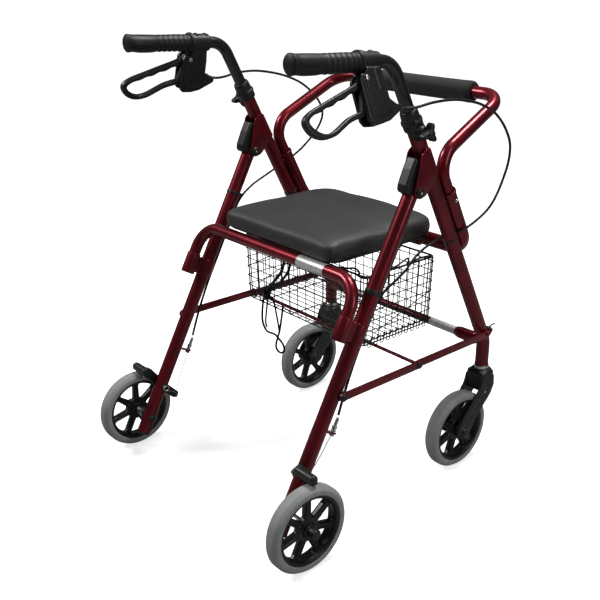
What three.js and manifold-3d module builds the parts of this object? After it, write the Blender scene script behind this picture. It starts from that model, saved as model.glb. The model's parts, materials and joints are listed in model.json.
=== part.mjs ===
// Rollator walker: a four-wheeled walking aid with a fold-up seat, a backrest, loop brakes and a wire basket.
// Millimetres. +Z is up, +Y is the direction of travel and +X is the user's right. The origin is on the
// ground under the middle of the object. The two sides mirror each other in the plane X = 0.
import * as THREE from "three";
import { mergeVertices } from "three/addons/utils/BufferGeometryUtils.js";
import Module from "manifold-3d";

const wasm = await Module();
wasm.setup();

// ---- driving dimensions ----
const CLEAR = 0.3; // gap between neighbouring pieces
const SIDE_X = 216; // plane of each side frame
const LEG_R = 12.7;
const BORE_R = 10.9; // inside of the leg tubes
const HANDLE_R = 10.5;
const BAR_R = 11; // rear seat bar and backrest tube
const SOCKET_R = 13.2; // front seat bar, whose ends hold the backrest
const ROUND = 16; // facets of a tube

const FRONT_SLOPE = 0.5095; // mm of Y per mm of drop along the front leg
const FRONT_TILT = Math.atan(FRONT_SLOPE);
const FRONT_Y = 49; // front leg axis at FRONT_Z
const FRONT_Z = 665;
const STEM_Y = 263; // swivel axis of the front fork
const LEG_TOP_Z = 690;
const STUB_END_Z = 192;
const LEG_BEND_R = 60;

const REAR_SLOPE = 0.552; // mm of Y per mm of rise along the rear leg
const REAR_TILT = -Math.atan(REAR_SLOPE);
const REAR_Y = 29; // rear leg axis at REAR_Z
const REAR_Z = 530;
const REAR_TOP_Z = 606;
const REAR_END_Z = 48;

const PIVOT = { y: 49.4, z: 567 }; // fold pivot, on the rear leg's axis
const PIN_R = 4;
const PIN_HOLE_R = 4.35;

const GRIP_Z = 783;
const GRIP_END_Y = -201;
const GRIP_SLOPE = THREE.MathUtils.degToRad(3);
const BRAKE_TILT = THREE.MathUtils.degToRad(21);
const GRIP_START_Y = -74.5;
const GRIP_R = 15.5;
const CLAMP_END_Y = -38;
const HANDLE_END_Y = -188;
const HANDLE_BOTTOM_Z = 545;
const HANDLE_BEND_R = 42;
const COLLAR_TOP_Z = 698;
const COLLAR_R = 16.5;
const KNOB_Z = 663;
const LEVER_PIVOT = { y: -76, z: 757 };

const WHEEL_R = 76;
const WHEEL_FACETS = 24;
const TYRE_W = 28;
const RIM_R = 61.5;
const AXLE_R = 4;
const HUB_HOLE_R = 4.5;
const REAR_WHEEL = { x: 265, y: -222.5 };
const FRONT_WHEEL_Y = 196;

const SEAT_TOP_Z = 485;
const SEAT_BOTTOM_Z = 449.6;
const SEAT_HALF_X = 160;
const SEAT_REAR_Y = -78;
const SEAT_FRONT_Y = 190;
const REAR_BAR = { y: -65, z: 438 };
const FRONT_BAR_Z = 436;
const SOCKET_OFFSET = 26.2; // from the front leg axis, square to it
const SOCKET_TOP_Z = 553;
const BACKREST = { x: 207, y: 279, z: 693 };
const FOAM_R = 20;
const FOAM_HALF_X = 143;

const LINK_Z = 261;
const LINK_FRONT_Y = 255;
const LINK_MID_Y = 62;
const LINK_REAR_Y = -116;
const LINK_W = 14.5;
const LINK_T = 3.5;
const ROD_R = 3.2;
const CROSS_TUBE = { y: 257, z: 242, r: 8 };
const BRAKE_SPINDLE_Z = 134;
const CABLE_TAB_Z = 205; // the tab on the rear leg that holds the cable's adjuster
const CABLE_OFFSET = 32; // of the adjuster from the rear leg's axis

const frontLegY = (z) => FRONT_Y + FRONT_SLOPE * (FRONT_Z - z);
const rearLegY = (z) => REAR_Y - REAR_SLOPE * (REAR_Z - z);
const at = (x, y, z) => new THREE.Vector3(x, y, z);

// ---- materials ----
const finish = (color, roughness, metalness) =>
  new THREE.MeshStandardMaterial({ color, roughness, metalness });
const paint = () => finish(0x6b1422, 0.28, 0.35);
const blackPlastic = () => finish(0x141614, 0.45, 0);
const blackPaint = () => finish(0x0c0d0d, 0.3, 0.3);
const rubber = () => finish(0x171917, 0.75, 0);
const foam = () => finish(0x1b1e1c, 0.95, 0);
const vinyl = () => finish(0x2b302d, 0.5, 0);
const tyreRubber = () => finish(0x8f938f, 0.7, 0);
const zinc = () => finish(0xb9bcc0, 0.25, 0.9);
const wire = () => finish(0x101110, 0.4, 0.4);
const webbing = () => finish(0x121312, 0.9, 0);

// ---- solids ----
function solidOf(geometry) {
  const bare = new THREE.BufferGeometry();
  bare.setAttribute("position", geometry.getAttribute("position"));
  bare.setIndex(geometry.getIndex());
  const merged = mergeVertices(bare, 1e-4);
  const triVerts = new Uint32Array(merged.index.array);
  const make = () =>
    new wasm.Manifold(
      new wasm.Mesh({
        numProp: 3,
        vertProperties: merged.attributes.position.array,
        triVerts,
      }),
    );
  const solid = make();
  if (solid.volume() >= 0) return solid;
  for (let i = 0; i < triVerts.length; i += 3) {
    const first = triVerts[i];
    triVerts[i] = triVerts[i + 1];
    triVerts[i + 1] = first;
  }
  return make();
}

function geometryOf(solid) {
  const mesh = solid.getMesh();
  const geometry = new THREE.BufferGeometry();
  geometry.setAttribute(
    "position",
    new THREE.BufferAttribute(new Float32Array(mesh.vertProperties), 3),
  );
  geometry.setIndex(new THREE.BufferAttribute(new Uint32Array(mesh.triVerts), 1));
  geometry.computeVertexNormals();
  return geometry;
}

const join = (...geometries) =>
  geometryOf(geometries.map(solidOf).reduce((sum, next) => sum.add(next)));
const cut = (base, ...tools) =>
  geometryOf(tools.map(solidOf).reduce((sum, next) => sum.subtract(next), solidOf(base)));

// A path of straight runs joined by arcs, sampled only where it turns.
class BentPath extends THREE.Curve {
  constructor(corners, bendR, arcSteps = 3) {
    super();
    this.stations = [];
    corners.forEach((corner, i) => {
      if (i === 0 || i === corners.length - 1) {
        const along = i === 0 ? corners[1].clone().sub(corner) : corner.clone().sub(corners[i - 1]);
        this.stations.push({ point: corner, tangent: along.normalize() });
        return;
      }
      this.addArc(corners[i - 1], corner, corners[i + 1], bendR, arcSteps);
    });
  }

  addArc(before, corner, after, bendR, arcSteps) {
    const into = corner.clone().sub(before).normalize();
    const out = after.clone().sub(corner).normalize();
    const turn = into.angleTo(out);
    const reach = bendR * Math.tan(turn / 2);
    const inward = out.clone().sub(into.clone().multiplyScalar(into.dot(out))).normalize();
    const start = corner.clone().addScaledVector(into, -reach);
    for (let k = 0; k <= arcSteps; k++) {
      const a = (turn * k) / arcSteps;
      this.stations.push({
        point: start
          .clone()
          .addScaledVector(into, bendR * Math.sin(a))
          .addScaledVector(inward, bendR * (1 - Math.cos(a))),
        tangent: into.clone().multiplyScalar(Math.cos(a)).addScaledVector(inward, Math.sin(a)),
      });
    }
  }

  station(u) {
    return this.stations[Math.round(u * (this.stations.length - 1))];
  }
  getPointAt(u) {
    return this.station(u).point.clone();
  }
  getTangentAt(u) {
    return this.station(u).tangent.clone();
  }
}

const circlePoints = (radius, count, cx = 0, cy = 0) =>
  Array.from({ length: count }, (_, i) => {
    const a = (2 * Math.PI * (i + 0.5)) / count;
    return new THREE.Vector2(cx + radius * Math.cos(a), cy + radius * Math.sin(a));
  });

function disc(radius, count, boreR = 0, boreCount = count) {
  const shape = new THREE.Shape(circlePoints(radius, count));
  if (boreR) shape.holes.push(new THREE.Path(circlePoints(boreR, boreCount)));
  return shape;
}

function sweep(corners, bendR, radius, boreR = 0, boreCount = 10, facets = ROUND) {
  const path = new BentPath(corners, bendR);
  return new THREE.ExtrudeGeometry(disc(radius, facets, boreR, boreCount), {
    steps: path.stations.length - 1,
    extrudePath: path,
  });
}

// A flat outline in the YZ plane given thickness along X, from x0 to x1.
function plate(outline, x0, x1, holes = []) {
  const shape = new THREE.Shape(outline.map(([y, z]) => new THREE.Vector2(y, z)));
  holes.forEach((hole) => shape.holes.push(new THREE.Path(hole)));
  return new THREE.ExtrudeGeometry(shape, { depth: x1 - x0, bevelEnabled: false })
    .rotateX(Math.PI / 2)
    .rotateZ(Math.PI / 2)
    .translate(x0, 0, 0);
}

// A turned piece whose axis runs along X through (y, z); profile points are [x, radius].
function turnedX(profile, y, z, facets = 12) {
  return new THREE.LatheGeometry(
    profile.map(([x, r]) => new THREE.Vector2(r, x)),
    facets,
    Math.PI / facets,
  )
    .rotateZ(-Math.PI / 2)
    .translate(0, y, z);
}

const rodX = (x0, x1, radius, y, z, facets = 12) =>
  turnedX([[x0, 0], [x0, radius], [x1, radius], [x1, 0]], y, z, facets);

// The same about the Z axis through the origin; profile points are [radius, z].
const turnedZ = (profile, facets) =>
  new THREE.LatheGeometry(
    profile.map(([r, z]) => new THREE.Vector2(r, z)),
    facets,
    Math.PI / facets,
  ).rotateX(Math.PI / 2);

const rodZ = (z0, z1, radius, facets = ROUND) =>
  turnedZ([[0, z0], [radius, z0], [radius, z1], [0, z1]], facets);

// A straight round bar from one point to another.
const bar = (a, b, radius, facets = ROUND) => sweep([a, b], 1, radius, 0, 0, facets);

// Moves a piece drawn round the origin along Z onto the front or the rear leg's axis at height z.
const ontoFrontLeg = (geometry, z) =>
  geometry.rotateX(FRONT_TILT).translate(SIDE_X, frontLegY(z), z);
const ontoRearLeg = (geometry, z) =>
  geometry.rotateX(REAR_TILT).translate(SIDE_X, rearLegY(z), z);

// A point beside a leg: offset is measured square to the leg, forward, in the side plane.
const besideFrontLeg = (offset, z) =>
  at(SIDE_X, frontLegY(z) + offset * Math.cos(FRONT_TILT), z + offset * Math.sin(FRONT_TILT));
const besideRearLeg = (offset, z) =>
  at(SIDE_X, rearLegY(z) + offset * Math.cos(REAR_TILT), z + offset * Math.sin(REAR_TILT));

// ---- front frame ----
function frontLeg() {
  const tube = sweep(
    [at(SIDE_X, frontLegY(LEG_TOP_Z), LEG_TOP_Z), at(SIDE_X, STEM_Y, 245), at(SIDE_X, STEM_Y, STUB_END_Z)],
    LEG_BEND_R,
    LEG_R,
    BORE_R,
    ROUND,
  );
  return cut(tube, rodX(SIDE_X, SIDE_X + 20, 3.9, LINK_FRONT_Y, LINK_Z + 1));
}

function handleCollar() {
  const top = (COLLAR_TOP_Z - FRONT_Z) / Math.cos(FRONT_TILT);
  const step = (LEG_TOP_Z - FRONT_Z) / Math.cos(FRONT_TILT) + CLEAR;
  const inner = LEG_R + 0.4;
  const throat = HANDLE_R + 0.5;
  const bottom = 4;
  const knobAt = (KNOB_Z - FRONT_Z) / Math.cos(FRONT_TILT);
  const sleeve = turnedZ(
    [
      [COLLAR_R, bottom], [COLLAR_R, top - 2], [COLLAR_R - 1.5, top], [throat, top], [throat, step],
      [inner, step], [inner, bottom], [COLLAR_R, bottom],
    ],
    ROUND,
  );
  const boss = new THREE.BoxGeometry(13, 20, 24).translate(14.5, 0, knobAt);
  const legSpace = rodZ(step - 100, step, inner);
  const body = join(sleeve, cut(boss, legSpace));
  const screwHole = rodX(SIDE_X + 5, SIDE_X + 30, 3.4, frontLegY(KNOB_Z), KNOB_Z);
  return cut(ontoFrontLeg(body, FRONT_Z), screwHole);
}

function heightKnob() {
  const lobes = 3;
  const points = 24;
  const outline = Array.from({ length: points }, (_, i) => {
    const a = (2 * Math.PI * i) / points;
    const r = 12.5 + 4.5 * Math.cos(lobes * a);
    return [r * Math.cos(a), r * Math.sin(a)];
  });
  const y = frontLegY(KNOB_Z);
  const tip = SIDE_X + LEG_R + 0.4;
  const neck = SIDE_X + 21.4;
  const headX = SIDE_X + 23;
  const head = plate(outline, headX, headX + 13).translate(0, y, KNOB_Z);
  const stud = turnedX(
    [[tip, 0], [tip, 3], [neck, 3], [neck, 7], [headX + 1, 7], [headX + 1, 0]],
    y,
    KNOB_Z,
    10,
  );
  return join(head, stud);
}

function foldBracket() {
  const outline = [
    [46, 634], [84.5, 634], [103, 596], [98, 578], [84, 566], [70, 559], [58, 555.5], [49, 555],
    [41, 559], [37.5, 567], [38, 577], [43, 600],
  ];
  const halfWidth = 17;
  const slotHalf = 14.6;
  const block = plate(outline, SIDE_X - halfWidth, SIDE_X + halfWidth);
  const slot = ontoFrontLeg(new THREE.BoxGeometry(2 * slotHalf, 80, 260).translate(0, -40, 0), 600);
  const legSpace = ontoFrontLeg(rodZ(-130, 130, LEG_R + 0.4), 600);
  return cut(block, slot, legSpace, rodX(SIDE_X - 30, SIDE_X + 30, PIN_HOLE_R, PIVOT.y, PIVOT.z));
}

function foldPin() {
  const face = 17.4;
  const profile = [
    [-21, 0], [-21, 6.5], [-face, 6.5], [-face, PIN_R], [face, PIN_R], [face, 7], [20, 7],
    [21.5, 4], [21.5, 0],
  ];
  return turnedX(profile, PIVOT.y, PIVOT.z).translate(SIDE_X, 0, 0);
}

// The socket line runs beside the front leg; the backrest tube drops into its open top ends.
const socketPoint = (z) => besideFrontLeg(SOCKET_OFFSET, z - SOCKET_OFFSET * Math.sin(FRONT_TILT));
const buttonZ = SOCKET_TOP_Z - 16;

const buttonHole = (side) => {
  const p = socketPoint(buttonZ);
  return rodX(side * SIDE_X + 5 * side, side * SIDE_X + 20 * side, 3.7, p.y, p.z, 8);
};

function seatFrontBar() {
  const right = [socketPoint(SOCKET_TOP_Z), socketPoint(FRONT_BAR_Z)];
  const left = right.map((p) => at(-p.x, p.y, p.z)).reverse();
  return cut(
    sweep([...right, ...left], 40, SOCKET_R, BAR_R + 0.4, 14),
    buttonHole(1),
    buttonHole(-1),
  );
}

function backrestTube() {
  const kink = socketPoint(609.5);
  const right = [socketPoint(500), kink, at(BACKREST.x, BACKREST.y, BACKREST.z)];
  const left = right.map((p) => at(-p.x, p.y, p.z)).reverse();
  return cut(sweep([...right, ...left], 42, BAR_R, 9.3, 8, 14), buttonHole(1), buttonHole(-1));
}

function backrestFoam() {
  const end = FOAM_HALF_X;
  const inner = BAR_R + 0.4;
  const edge = 2;
  return turnedX(
    [
      [-end, inner], [-end, FOAM_R - edge], [edge - end, FOAM_R], [end - edge, FOAM_R],
      [end, FOAM_R - edge], [end, inner], [-end, inner],
    ],
    BACKREST.y,
    BACKREST.z,
    ROUND,
  );
}

function socketButton() {
  const p = socketPoint(buttonZ);
  const profile = [[9.8, 0], [9.8, 3.3], [14.6, 3.3], [16.4, 1.6], [16.4, 0]];
  return turnedX(profile, p.y, p.z, 8).translate(SIDE_X, 0, 0);
}

function frontCrossTube() {
  const { y, z, r } = CROSS_TUBE;
  const end = SIDE_X - LEG_R - CLEAR - 0.2;
  return sweep([at(-end, y, z), at(end, y, z)], 1, r, r - 1.6, 8, 12);
}

function casterBearing() {
  const top = STUB_END_Z - 0.4;
  const bottom = top - 7;
  const bore = 6.5;
  const profile = [
    [bore, bottom], [13.5, bottom], [14, bottom + 1.4], [14, top - 1.6], [12.5, top], [bore, top],
    [bore, bottom],
  ];
  return turnedZ(profile, ROUND).translate(SIDE_X, STEM_Y, 0);
}

// ---- rear frame ----
// Everything in front of this face of the front leg is kept clear by the rear leg's diagonal top.
const frontLegFace = () =>
  ontoFrontLeg(new THREE.BoxGeometry(60, 60, 260).translate(0, 30 - LEG_R - 0.8, 0), 600);

function rearLeg() {
  const tube = sweep(
    [at(SIDE_X, rearLegY(REAR_END_Z), REAR_END_Z), at(SIDE_X, rearLegY(REAR_TOP_Z), REAR_TOP_Z)],
    1,
    LEG_R,
    BORE_R,
    10,
  );
  const tab = ontoRearLeg(new THREE.BoxGeometry(13, 27, 3).translate(0, CABLE_OFFSET - 7, 0), CABLE_TAB_Z);
  const cableHole = ontoRearLeg(rodZ(-6, 6, 2.9, 8).translate(0, CABLE_OFFSET, 0), CABLE_TAB_Z);
  const reach = SIDE_X + 30;
  return cut(
    join(tube, tab),
    cableHole,
    frontLegFace(),
    rodX(SIDE_X - 30, reach, PIN_HOLE_R, PIVOT.y, PIVOT.z),
    rodX(SIDE_X - 30, reach, HUB_HOLE_R, REAR_WHEEL.y, WHEEL_R, 10),
    rodX(SIDE_X - 30, reach, 4.5, rearLegY(BRAKE_SPINDLE_Z), BRAKE_SPINDLE_Z, 10),
  );
}

function hingeCap() {
  const outline = [
    [44, 625], [57, 619], [66, 602], [75, 592], [68, 583], [61, 573], [58, 563], [54, 558], [49, 556.5],
    [43, 558], [37, 564], [28, 566.5], [22.5, 571], [22, 579],
  ];
  const halfWidth = 14.1;
  const legSpace = ontoRearLeg(rodZ(-80, 80, LEG_R + 0.4), 590);
  return cut(
    plate(outline, SIDE_X - halfWidth, SIDE_X + halfWidth),
    legSpace,
    frontLegFace(),
    rodX(SIDE_X - 30, SIDE_X + 30, PIN_HOLE_R, PIVOT.y, PIVOT.z),
  );
}

const rearBarOffset = (REAR_BAR.y - rearLegY(REAR_BAR.z)) * Math.cos(REAR_TILT);

function rearSeatBar() {
  const endZ = 352;
  const side = (s) => [
    at(s * SIDE_X, REAR_BAR.y - REAR_SLOPE * (REAR_BAR.z - endZ), endZ),
    at(s * SIDE_X, REAR_BAR.y, REAR_BAR.z),
  ];
  return sweep([...side(1), ...side(-1).reverse()], 45, BAR_R, 9.2, 10);
}

function seatBarBracket() {
  const legWall = 15.8;
  const barWall = 14.2;
  const outline = [];
  const arc = (radius, cy, from) => {
    for (let k = 0; k <= 8; k++) {
      const a = from + (Math.PI * k) / 8;
      outline.push(new THREE.Vector2(radius * Math.cos(a), cy + radius * Math.sin(a)));
    }
  };
  arc(legWall, 0, 0);
  arc(barWall, rearBarOffset, Math.PI);
  const shape = new THREE.Shape(outline);
  shape.holes.push(new THREE.Path(circlePoints(LEG_R + 0.4, ROUND)));
  shape.holes.push(new THREE.Path(circlePoints(BAR_R + 0.4, ROUND, 0, rearBarOffset)));
  const length = 32;
  return ontoRearLeg(
    new THREE.ExtrudeGeometry(shape, { depth: length, bevelEnabled: false }).translate(0, 0, -length),
    369,
  );
}

function brakeCable() {
  const beside = (offset, z, x = SIDE_X) => besideRearLeg(offset, z).setX(x);
  const sheath = sweep(
    [beside(18.6, 492), beside(18.6, 330), beside(25, 262), beside(CABLE_OFFSET, CABLE_TAB_Z + 8)],
    60,
    2.2,
    0,
    0,
    8,
  );
  const barrelProfile = [[0, 2], [4.2, 2], [4.2, 8], [3.2, 8], [3.2, 24], [2, 27], [0, 27]];
  const barrel = ontoRearLeg(turnedZ(barrelProfile, 10).translate(0, CABLE_OFFSET, 0), CABLE_TAB_Z);
  const wireEnd = beside(CABLE_OFFSET, BRAKE_SPINDLE_Z - 16, SIDE_X - 9);
  const innerWire = bar(beside(CABLE_OFFSET, CABLE_TAB_Z + 11), wireEnd, 1.2, 6);
  return join(sheath, barrel, innerWire);
}

// The bolt passes through the leg, a spacer and the wheel's hub; x is measured from the leg's axis.
function rearAxle() {
  const legFace = 13;
  const spacerEnd = 34.3;
  const hubFace = 61.6;
  const headEnd = 65;
  const profile = [
    [-18, 0], [-18, 7.5], [-legFace, 7.5], [-legFace, AXLE_R], [legFace + 0.2, AXLE_R], [legFace + 0.2, 8.5],
    [spacerEnd, 8.5], [spacerEnd, AXLE_R], [hubFace, AXLE_R], [hubFace, 9], [headEnd - 1, 8], [headEnd, 5],
    [headEnd, 0],
  ];
  return turnedX(profile, REAR_WHEEL.y, WHEEL_R, 10).translate(SIDE_X, 0, 0);
}

function brakeArm() {
  const y = rearLegY(BRAKE_SPINDLE_Z);
  const z = BRAKE_SPINDLE_Z;
  const shoe = { y: y - 16.4, z: z + 26 };
  const spindle = rodX(SIDE_X - 17.5, SIDE_X + 17, 4.1, y, z, 10);
  const cheek = plate(
    [
      [y + 8, z - 3], [y + 5, z + 8], [shoe.y + 6, shoe.z + 5], [shoe.y - 1, shoe.z + 7],
      [shoe.y - 7, shoe.z], [shoe.y - 4, shoe.z - 7], [y - 7, z + 2], [y - 1, z - 8], [y + 5, z - 7],
    ],
    SIDE_X + 13.4,
    SIDE_X + 18,
  );
  const shoeBar = turnedX(
    [[SIDE_X + 14, 0], [SIDE_X + 14, 6.5], [279, 6.5], [281, 5], [281, 0]],
    shoe.y,
    shoe.z,
    10,
  );
  const horn = plate(
    [[y - 6, z + 4], [y + 5, z + 5], [y + 28, z - 20], [y + 24, z - 28], [y + 17, z - 26], [y - 5, z - 5]],
    SIDE_X - 17.5,
    SIDE_X - 13.4,
  );
  return join(spindle, cheek, shoeBar, horn);
}

// ---- seat ----
function roundedSlab(halfX, y0, y1, corner, z0, depth, bevel) {
  const shape = new THREE.Shape();
  const [x, r, a, b] = [halfX - bevel, corner, y0 + bevel, y1 - bevel];
  shape.moveTo(-x + r, a);
  shape.lineTo(x - r, a);
  shape.quadraticCurveTo(x, a, x, a + r);
  shape.lineTo(x, b - r);
  shape.quadraticCurveTo(x, b, x - r, b);
  shape.lineTo(-x + r, b);
  shape.quadraticCurveTo(-x, b, -x, b - r);
  shape.lineTo(-x, a + r);
  shape.quadraticCurveTo(-x, a, -x + r, a);
  return new THREE.ExtrudeGeometry(shape, {
    depth: depth - 2 * bevel,
    curveSegments: 4,
    bevelEnabled: bevel > 0,
    bevelThickness: bevel,
    bevelSize: bevel,
    bevelSegments: 2,
  }).translate(0, 0, z0 + bevel);
}

const BOARD_T = 6;
const CLIP_X = 95; // the board's two clips round the front bar
const boardShape = (grow, z0) =>
  roundedSlab(SEAT_HALF_X - 12 + grow, SEAT_REAR_Y + 18 - grow, SEAT_FRONT_Y - 6 + grow, 24, z0, BOARD_T, 0);

// The cover wraps round the board's edge, so the pad has a shallow recess for the board and its clips.
function seatPad() {
  const bottom = SEAT_BOTTOM_Z + CLEAR;
  const pad = roundedSlab(SEAT_HALF_X, SEAT_REAR_Y, SEAT_FRONT_Y, 28, bottom, SEAT_TOP_Z - bottom, 6);
  const clipSpace = (x) =>
    new THREE.BoxGeometry(30, 24, 12).translate(x, SEAT_FRONT_Y - 6, SEAT_BOTTOM_Z + CLEAR);
  return cut(pad, boardShape(CLEAR, SEAT_BOTTOM_Z + CLEAR), clipSpace(-CLIP_X), clipSpace(CLIP_X));
}

function seatBoard() {
  const barY = socketPoint(FRONT_BAR_Z).y;
  const board = boardShape(0, SEAT_BOTTOM_Z);
  const clip = (x) => {
    const inner = SOCKET_R + 0.4;
    const outer = SOCKET_R + 3.6;
    const ring = turnedX(
      [[x - 14, inner], [x - 14, outer], [x + 14, outer], [x + 14, inner], [x - 14, inner]],
      barY,
      FRONT_BAR_Z,
      ROUND,
    );
    const tongue = new THREE.BoxGeometry(28, 45, 5).translate(x, barY - 22.5, SEAT_BOTTOM_Z + 2.6);
    return join(ring, tongue);
  };
  const barSpace = rodX(-130, 130, SOCKET_R + 0.4, barY, FRONT_BAR_Z, ROUND);
  return cut(join(board, clip(-CLIP_X), clip(CLIP_X)), barSpace);
}

// ---- handles ----
// The grip is drawn level and then tipped down towards the front about the middle of its rear end.
const tipped = (geometry) =>
  geometry
    .translate(0, -GRIP_END_Y, -GRIP_Z)
    .rotateX(-GRIP_SLOPE)
    .translate(0, GRIP_END_Y, GRIP_Z);

// The brake hangs from the grip's tube and leans outwards round it.
const hung = (geometry) =>
  tipped(geometry.translate(-SIDE_X, 0, -GRIP_Z).rotateY(-BRAKE_TILT).translate(SIDE_X, 0, GRIP_Z));

function handleTube() {
  const drop = Math.tan(GRIP_SLOPE);
  const level = frontLegY(GRIP_Z);
  const lean = frontLegY(GRIP_Z - 1) - level;
  const down = (drop * (level - GRIP_END_Y)) / (1 - drop * lean);
  return sweep(
    [
      at(SIDE_X, frontLegY(HANDLE_BOTTOM_Z), HANDLE_BOTTOM_Z),
      at(SIDE_X, level + lean * down, GRIP_Z - down),
      at(SIDE_X, HANDLE_END_Y, GRIP_Z - drop * (HANDLE_END_Y - GRIP_END_Y)),
    ],
    HANDLE_BEND_R,
    HANDLE_R,
    8.8,
    10,
  );
}

const handGrip = () =>
  tipped(new THREE.LatheGeometry(
    [
      [0, GRIP_END_Y], [GRIP_R - 1.5, GRIP_END_Y], [GRIP_R + 0.8, GRIP_END_Y + 3], [GRIP_R - 0.5, -160],
      [GRIP_R - 1.5, -110], [GRIP_R, -84], [GRIP_R + 2, -80], [GRIP_R + 2, GRIP_START_Y],
      [HANDLE_R + 0.4, GRIP_START_Y],
      [HANDLE_R + 0.4, HANDLE_END_Y - 2], [0, HANDLE_END_Y - 2],
    ].map(([r, y]) => new THREE.Vector2(r, y)),
    ROUND,
    Math.PI / ROUND,
  ).translate(SIDE_X, 0, GRIP_Z));

function brakeHousing() {
  const clampR = 15.5;
  const start = GRIP_START_Y + 0.5;
  const clamp = new THREE.CylinderGeometry(clampR, clampR, CLAMP_END_Y - start, ROUND)
    .translate(SIDE_X, (CLAMP_END_Y + start) / 2, GRIP_Z);
  const outline = [
    [start + 4, GRIP_Z - 4], [-43, GRIP_Z - 4], [-42, 768], [-39, 753], [-36, 726], [-24, 719], [-13.5, 717],
    [-15.5, 709], [-27, 703.5], [-43, 695], [-60, 691.5], [-79, 692], [-85.5, 700], [-86, 715], [-88, 740],
    [-89.5, 755], [-85, 764], [start + 0.3, 764.5], [start + 0.3, 776],
  ];
  const slot = plate([[-154, 640], [-88, 640], [-53, 766], [-125, 766]], SIDE_X - 6.4, SIDE_X + 6.4);
  const tubeR = HANDLE_R + 0.4;
  const tubeSpace = new THREE.CylinderGeometry(tubeR, tubeR, 90, ROUND).translate(SIDE_X, -55, GRIP_Z);
  const body = cut(join(clamp, plate(outline, SIDE_X - 13, SIDE_X + 13)), slot, tubeSpace);
  return hung(join(body, rodX(SIDE_X - 14, SIDE_X + 14, 3.5, LEVER_PIVOT.y, LEVER_PIVOT.z, 10)));
}

function brakeLever() {
  const outline = [
    [-66, 760], [-70, 763], [-79, 763.2], [-85.5, 757], [-96.5, 749.5], [-127, 739.5], [-157, 728.5],
    [-187, 718], [-197.5, 710], [-197, 699], [-186, 685], [-170, 678.5], [-151, 680], [-131, 688],
    [-116, 698.5], [-87, 705.5], [-78, 713],
  ];
  const window = [
    [-74, 748.5], [-79, 746.5], [-97, 740], [-129, 729.5], [-161.5, 718], [-180, 713], [-186.5, 707],
    [-181, 697], [-168, 687.5], [-153, 686.5], [-136, 694.5], [-119.5, 703.5], [-89.5, 710.5],
  ].map(([y, z]) => new THREE.Vector2(y, z));
  const hole = circlePoints(3.9, 10, LEVER_PIVOT.y, LEVER_PIVOT.z);
  return hung(plate(outline, SIDE_X - 5.6, SIDE_X + 5.6, [window, hole]));
}

// ---- wheels ----
function tyre(x, y) {
  const r = WHEEL_R / Math.cos(Math.PI / WHEEL_FACETS);
  const h = TYRE_W / 2;
  const seatR = RIM_R + 0.4;
  const profile = [
    [1 - h, seatR], [-h, RIM_R + 6], [3 - h, r - 3.5], [8 - h, r], [h - 8, r], [h - 3, r - 3.5],
    [h, RIM_R + 6],
    [h - 1, seatR], [1 - h, seatR],
  ];
  return turnedX(profile, y, WHEEL_R, WHEEL_FACETS).translate(x, 0, 0);
}

function rim(x, y, hubHalf) {
  const spokes = 7;
  const window = (k) => {
    const points = [];
    const middle = (2 * Math.PI * (k + 0.5)) / spokes;
    const half = Math.PI / spokes;
    const outer = 53;
    const inner = 23;
    const spokeHalf = 5.5;
    for (const t of [-1, -0.35, 0.35, 1])
      points.push([outer, middle + t * (half - spokeHalf / outer)]);
    for (const t of [1, -1]) points.push([inner, middle + t * (half - spokeHalf / inner)]);
    return points.map(([r, a]) => new THREE.Vector2(r * Math.cos(a), r * Math.sin(a)));
  };
  const holes = Array.from({ length: spokes }, (_, k) => window(k));
  const outline = circlePoints(RIM_R, WHEEL_FACETS).map((p) => [p.x, p.y]);
  const web = plate(outline, x - 10, x + 10, holes).translate(0, y, WHEEL_R);
  const hub = rodX(x - hubHalf, x + hubHalf, 13, y, WHEEL_R, 14);
  return cut(join(web, hub), rodX(x - 40, x + 40, HUB_HOLE_R, y, WHEEL_R, 10));
}

function frontFork() {
  const top = 184;
  const outline = [
    [STEM_Y - 20, top], [STEM_Y + 20, top], [STEM_Y + 24, top - 14], [STEM_Y + 20, top - 40],
    [STEM_Y + 8, top - 62], [FRONT_WHEEL_Y + 10, 66], [FRONT_WHEEL_Y, 63], [FRONT_WHEEL_Y - 9, 67],
    [FRONT_WHEEL_Y - 13, 76],
    [FRONT_WHEEL_Y - 10, 85], [STEM_Y - 36, top - 44], [STEM_Y - 24, top - 16],
  ];
  const half = 22;
  const body = plate(outline, SIDE_X - half, SIDE_X + half);
  const wheelSpace = rodX(SIDE_X - 16.4, SIDE_X + 16.4, WHEEL_R + 6, FRONT_WHEEL_Y, WHEEL_R, 32);
  const stem = bar(at(SIDE_X, STEM_Y, top - 10), at(SIDE_X, STEM_Y, 228), 6, 10);
  const axleHole = rodX(SIDE_X - 40, SIDE_X + 40, HUB_HOLE_R, FRONT_WHEEL_Y, WHEEL_R, 10);
  return join(cut(body, wheelSpace, axleHole), stem);
}

function frontAxle() {
  const face = 22.4;
  const end = 27;
  const headR = 6.5;
  const profile = [
    [-end, 0], [-end, headR], [-face, headR], [-face, AXLE_R], [face, AXLE_R], [face, headR], [end, headR],
    [end, 0],
  ];
  return turnedX(profile, FRONT_WHEEL_Y, WHEEL_R, 10).translate(SIDE_X, 0, 0);
}

// ---- folding linkage ----
function flatBar(y0, y1, x0, holeY) {
  const z = LINK_Z;
  const h = LINK_W / 2;
  const c = h - 3;
  const outline = [
    [y0 - h, z - 3], [y0 - c, z - h], [y1 + c, z - h], [y1 + h, z - 3],
    [y1 + h, z + 3], [y1 + c, z + h], [y0 - c, z + h], [y0 - h, z + 3],
  ];
  return plate(outline, x0, x0 + LINK_T, [circlePoints(ROD_R + 0.4, 10, holeY, z)]);
}

const linkInnerX = SIDE_X + LEG_R + 0.7;
const linkOuterX = linkInnerX + LINK_T + 0.5;

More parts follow.
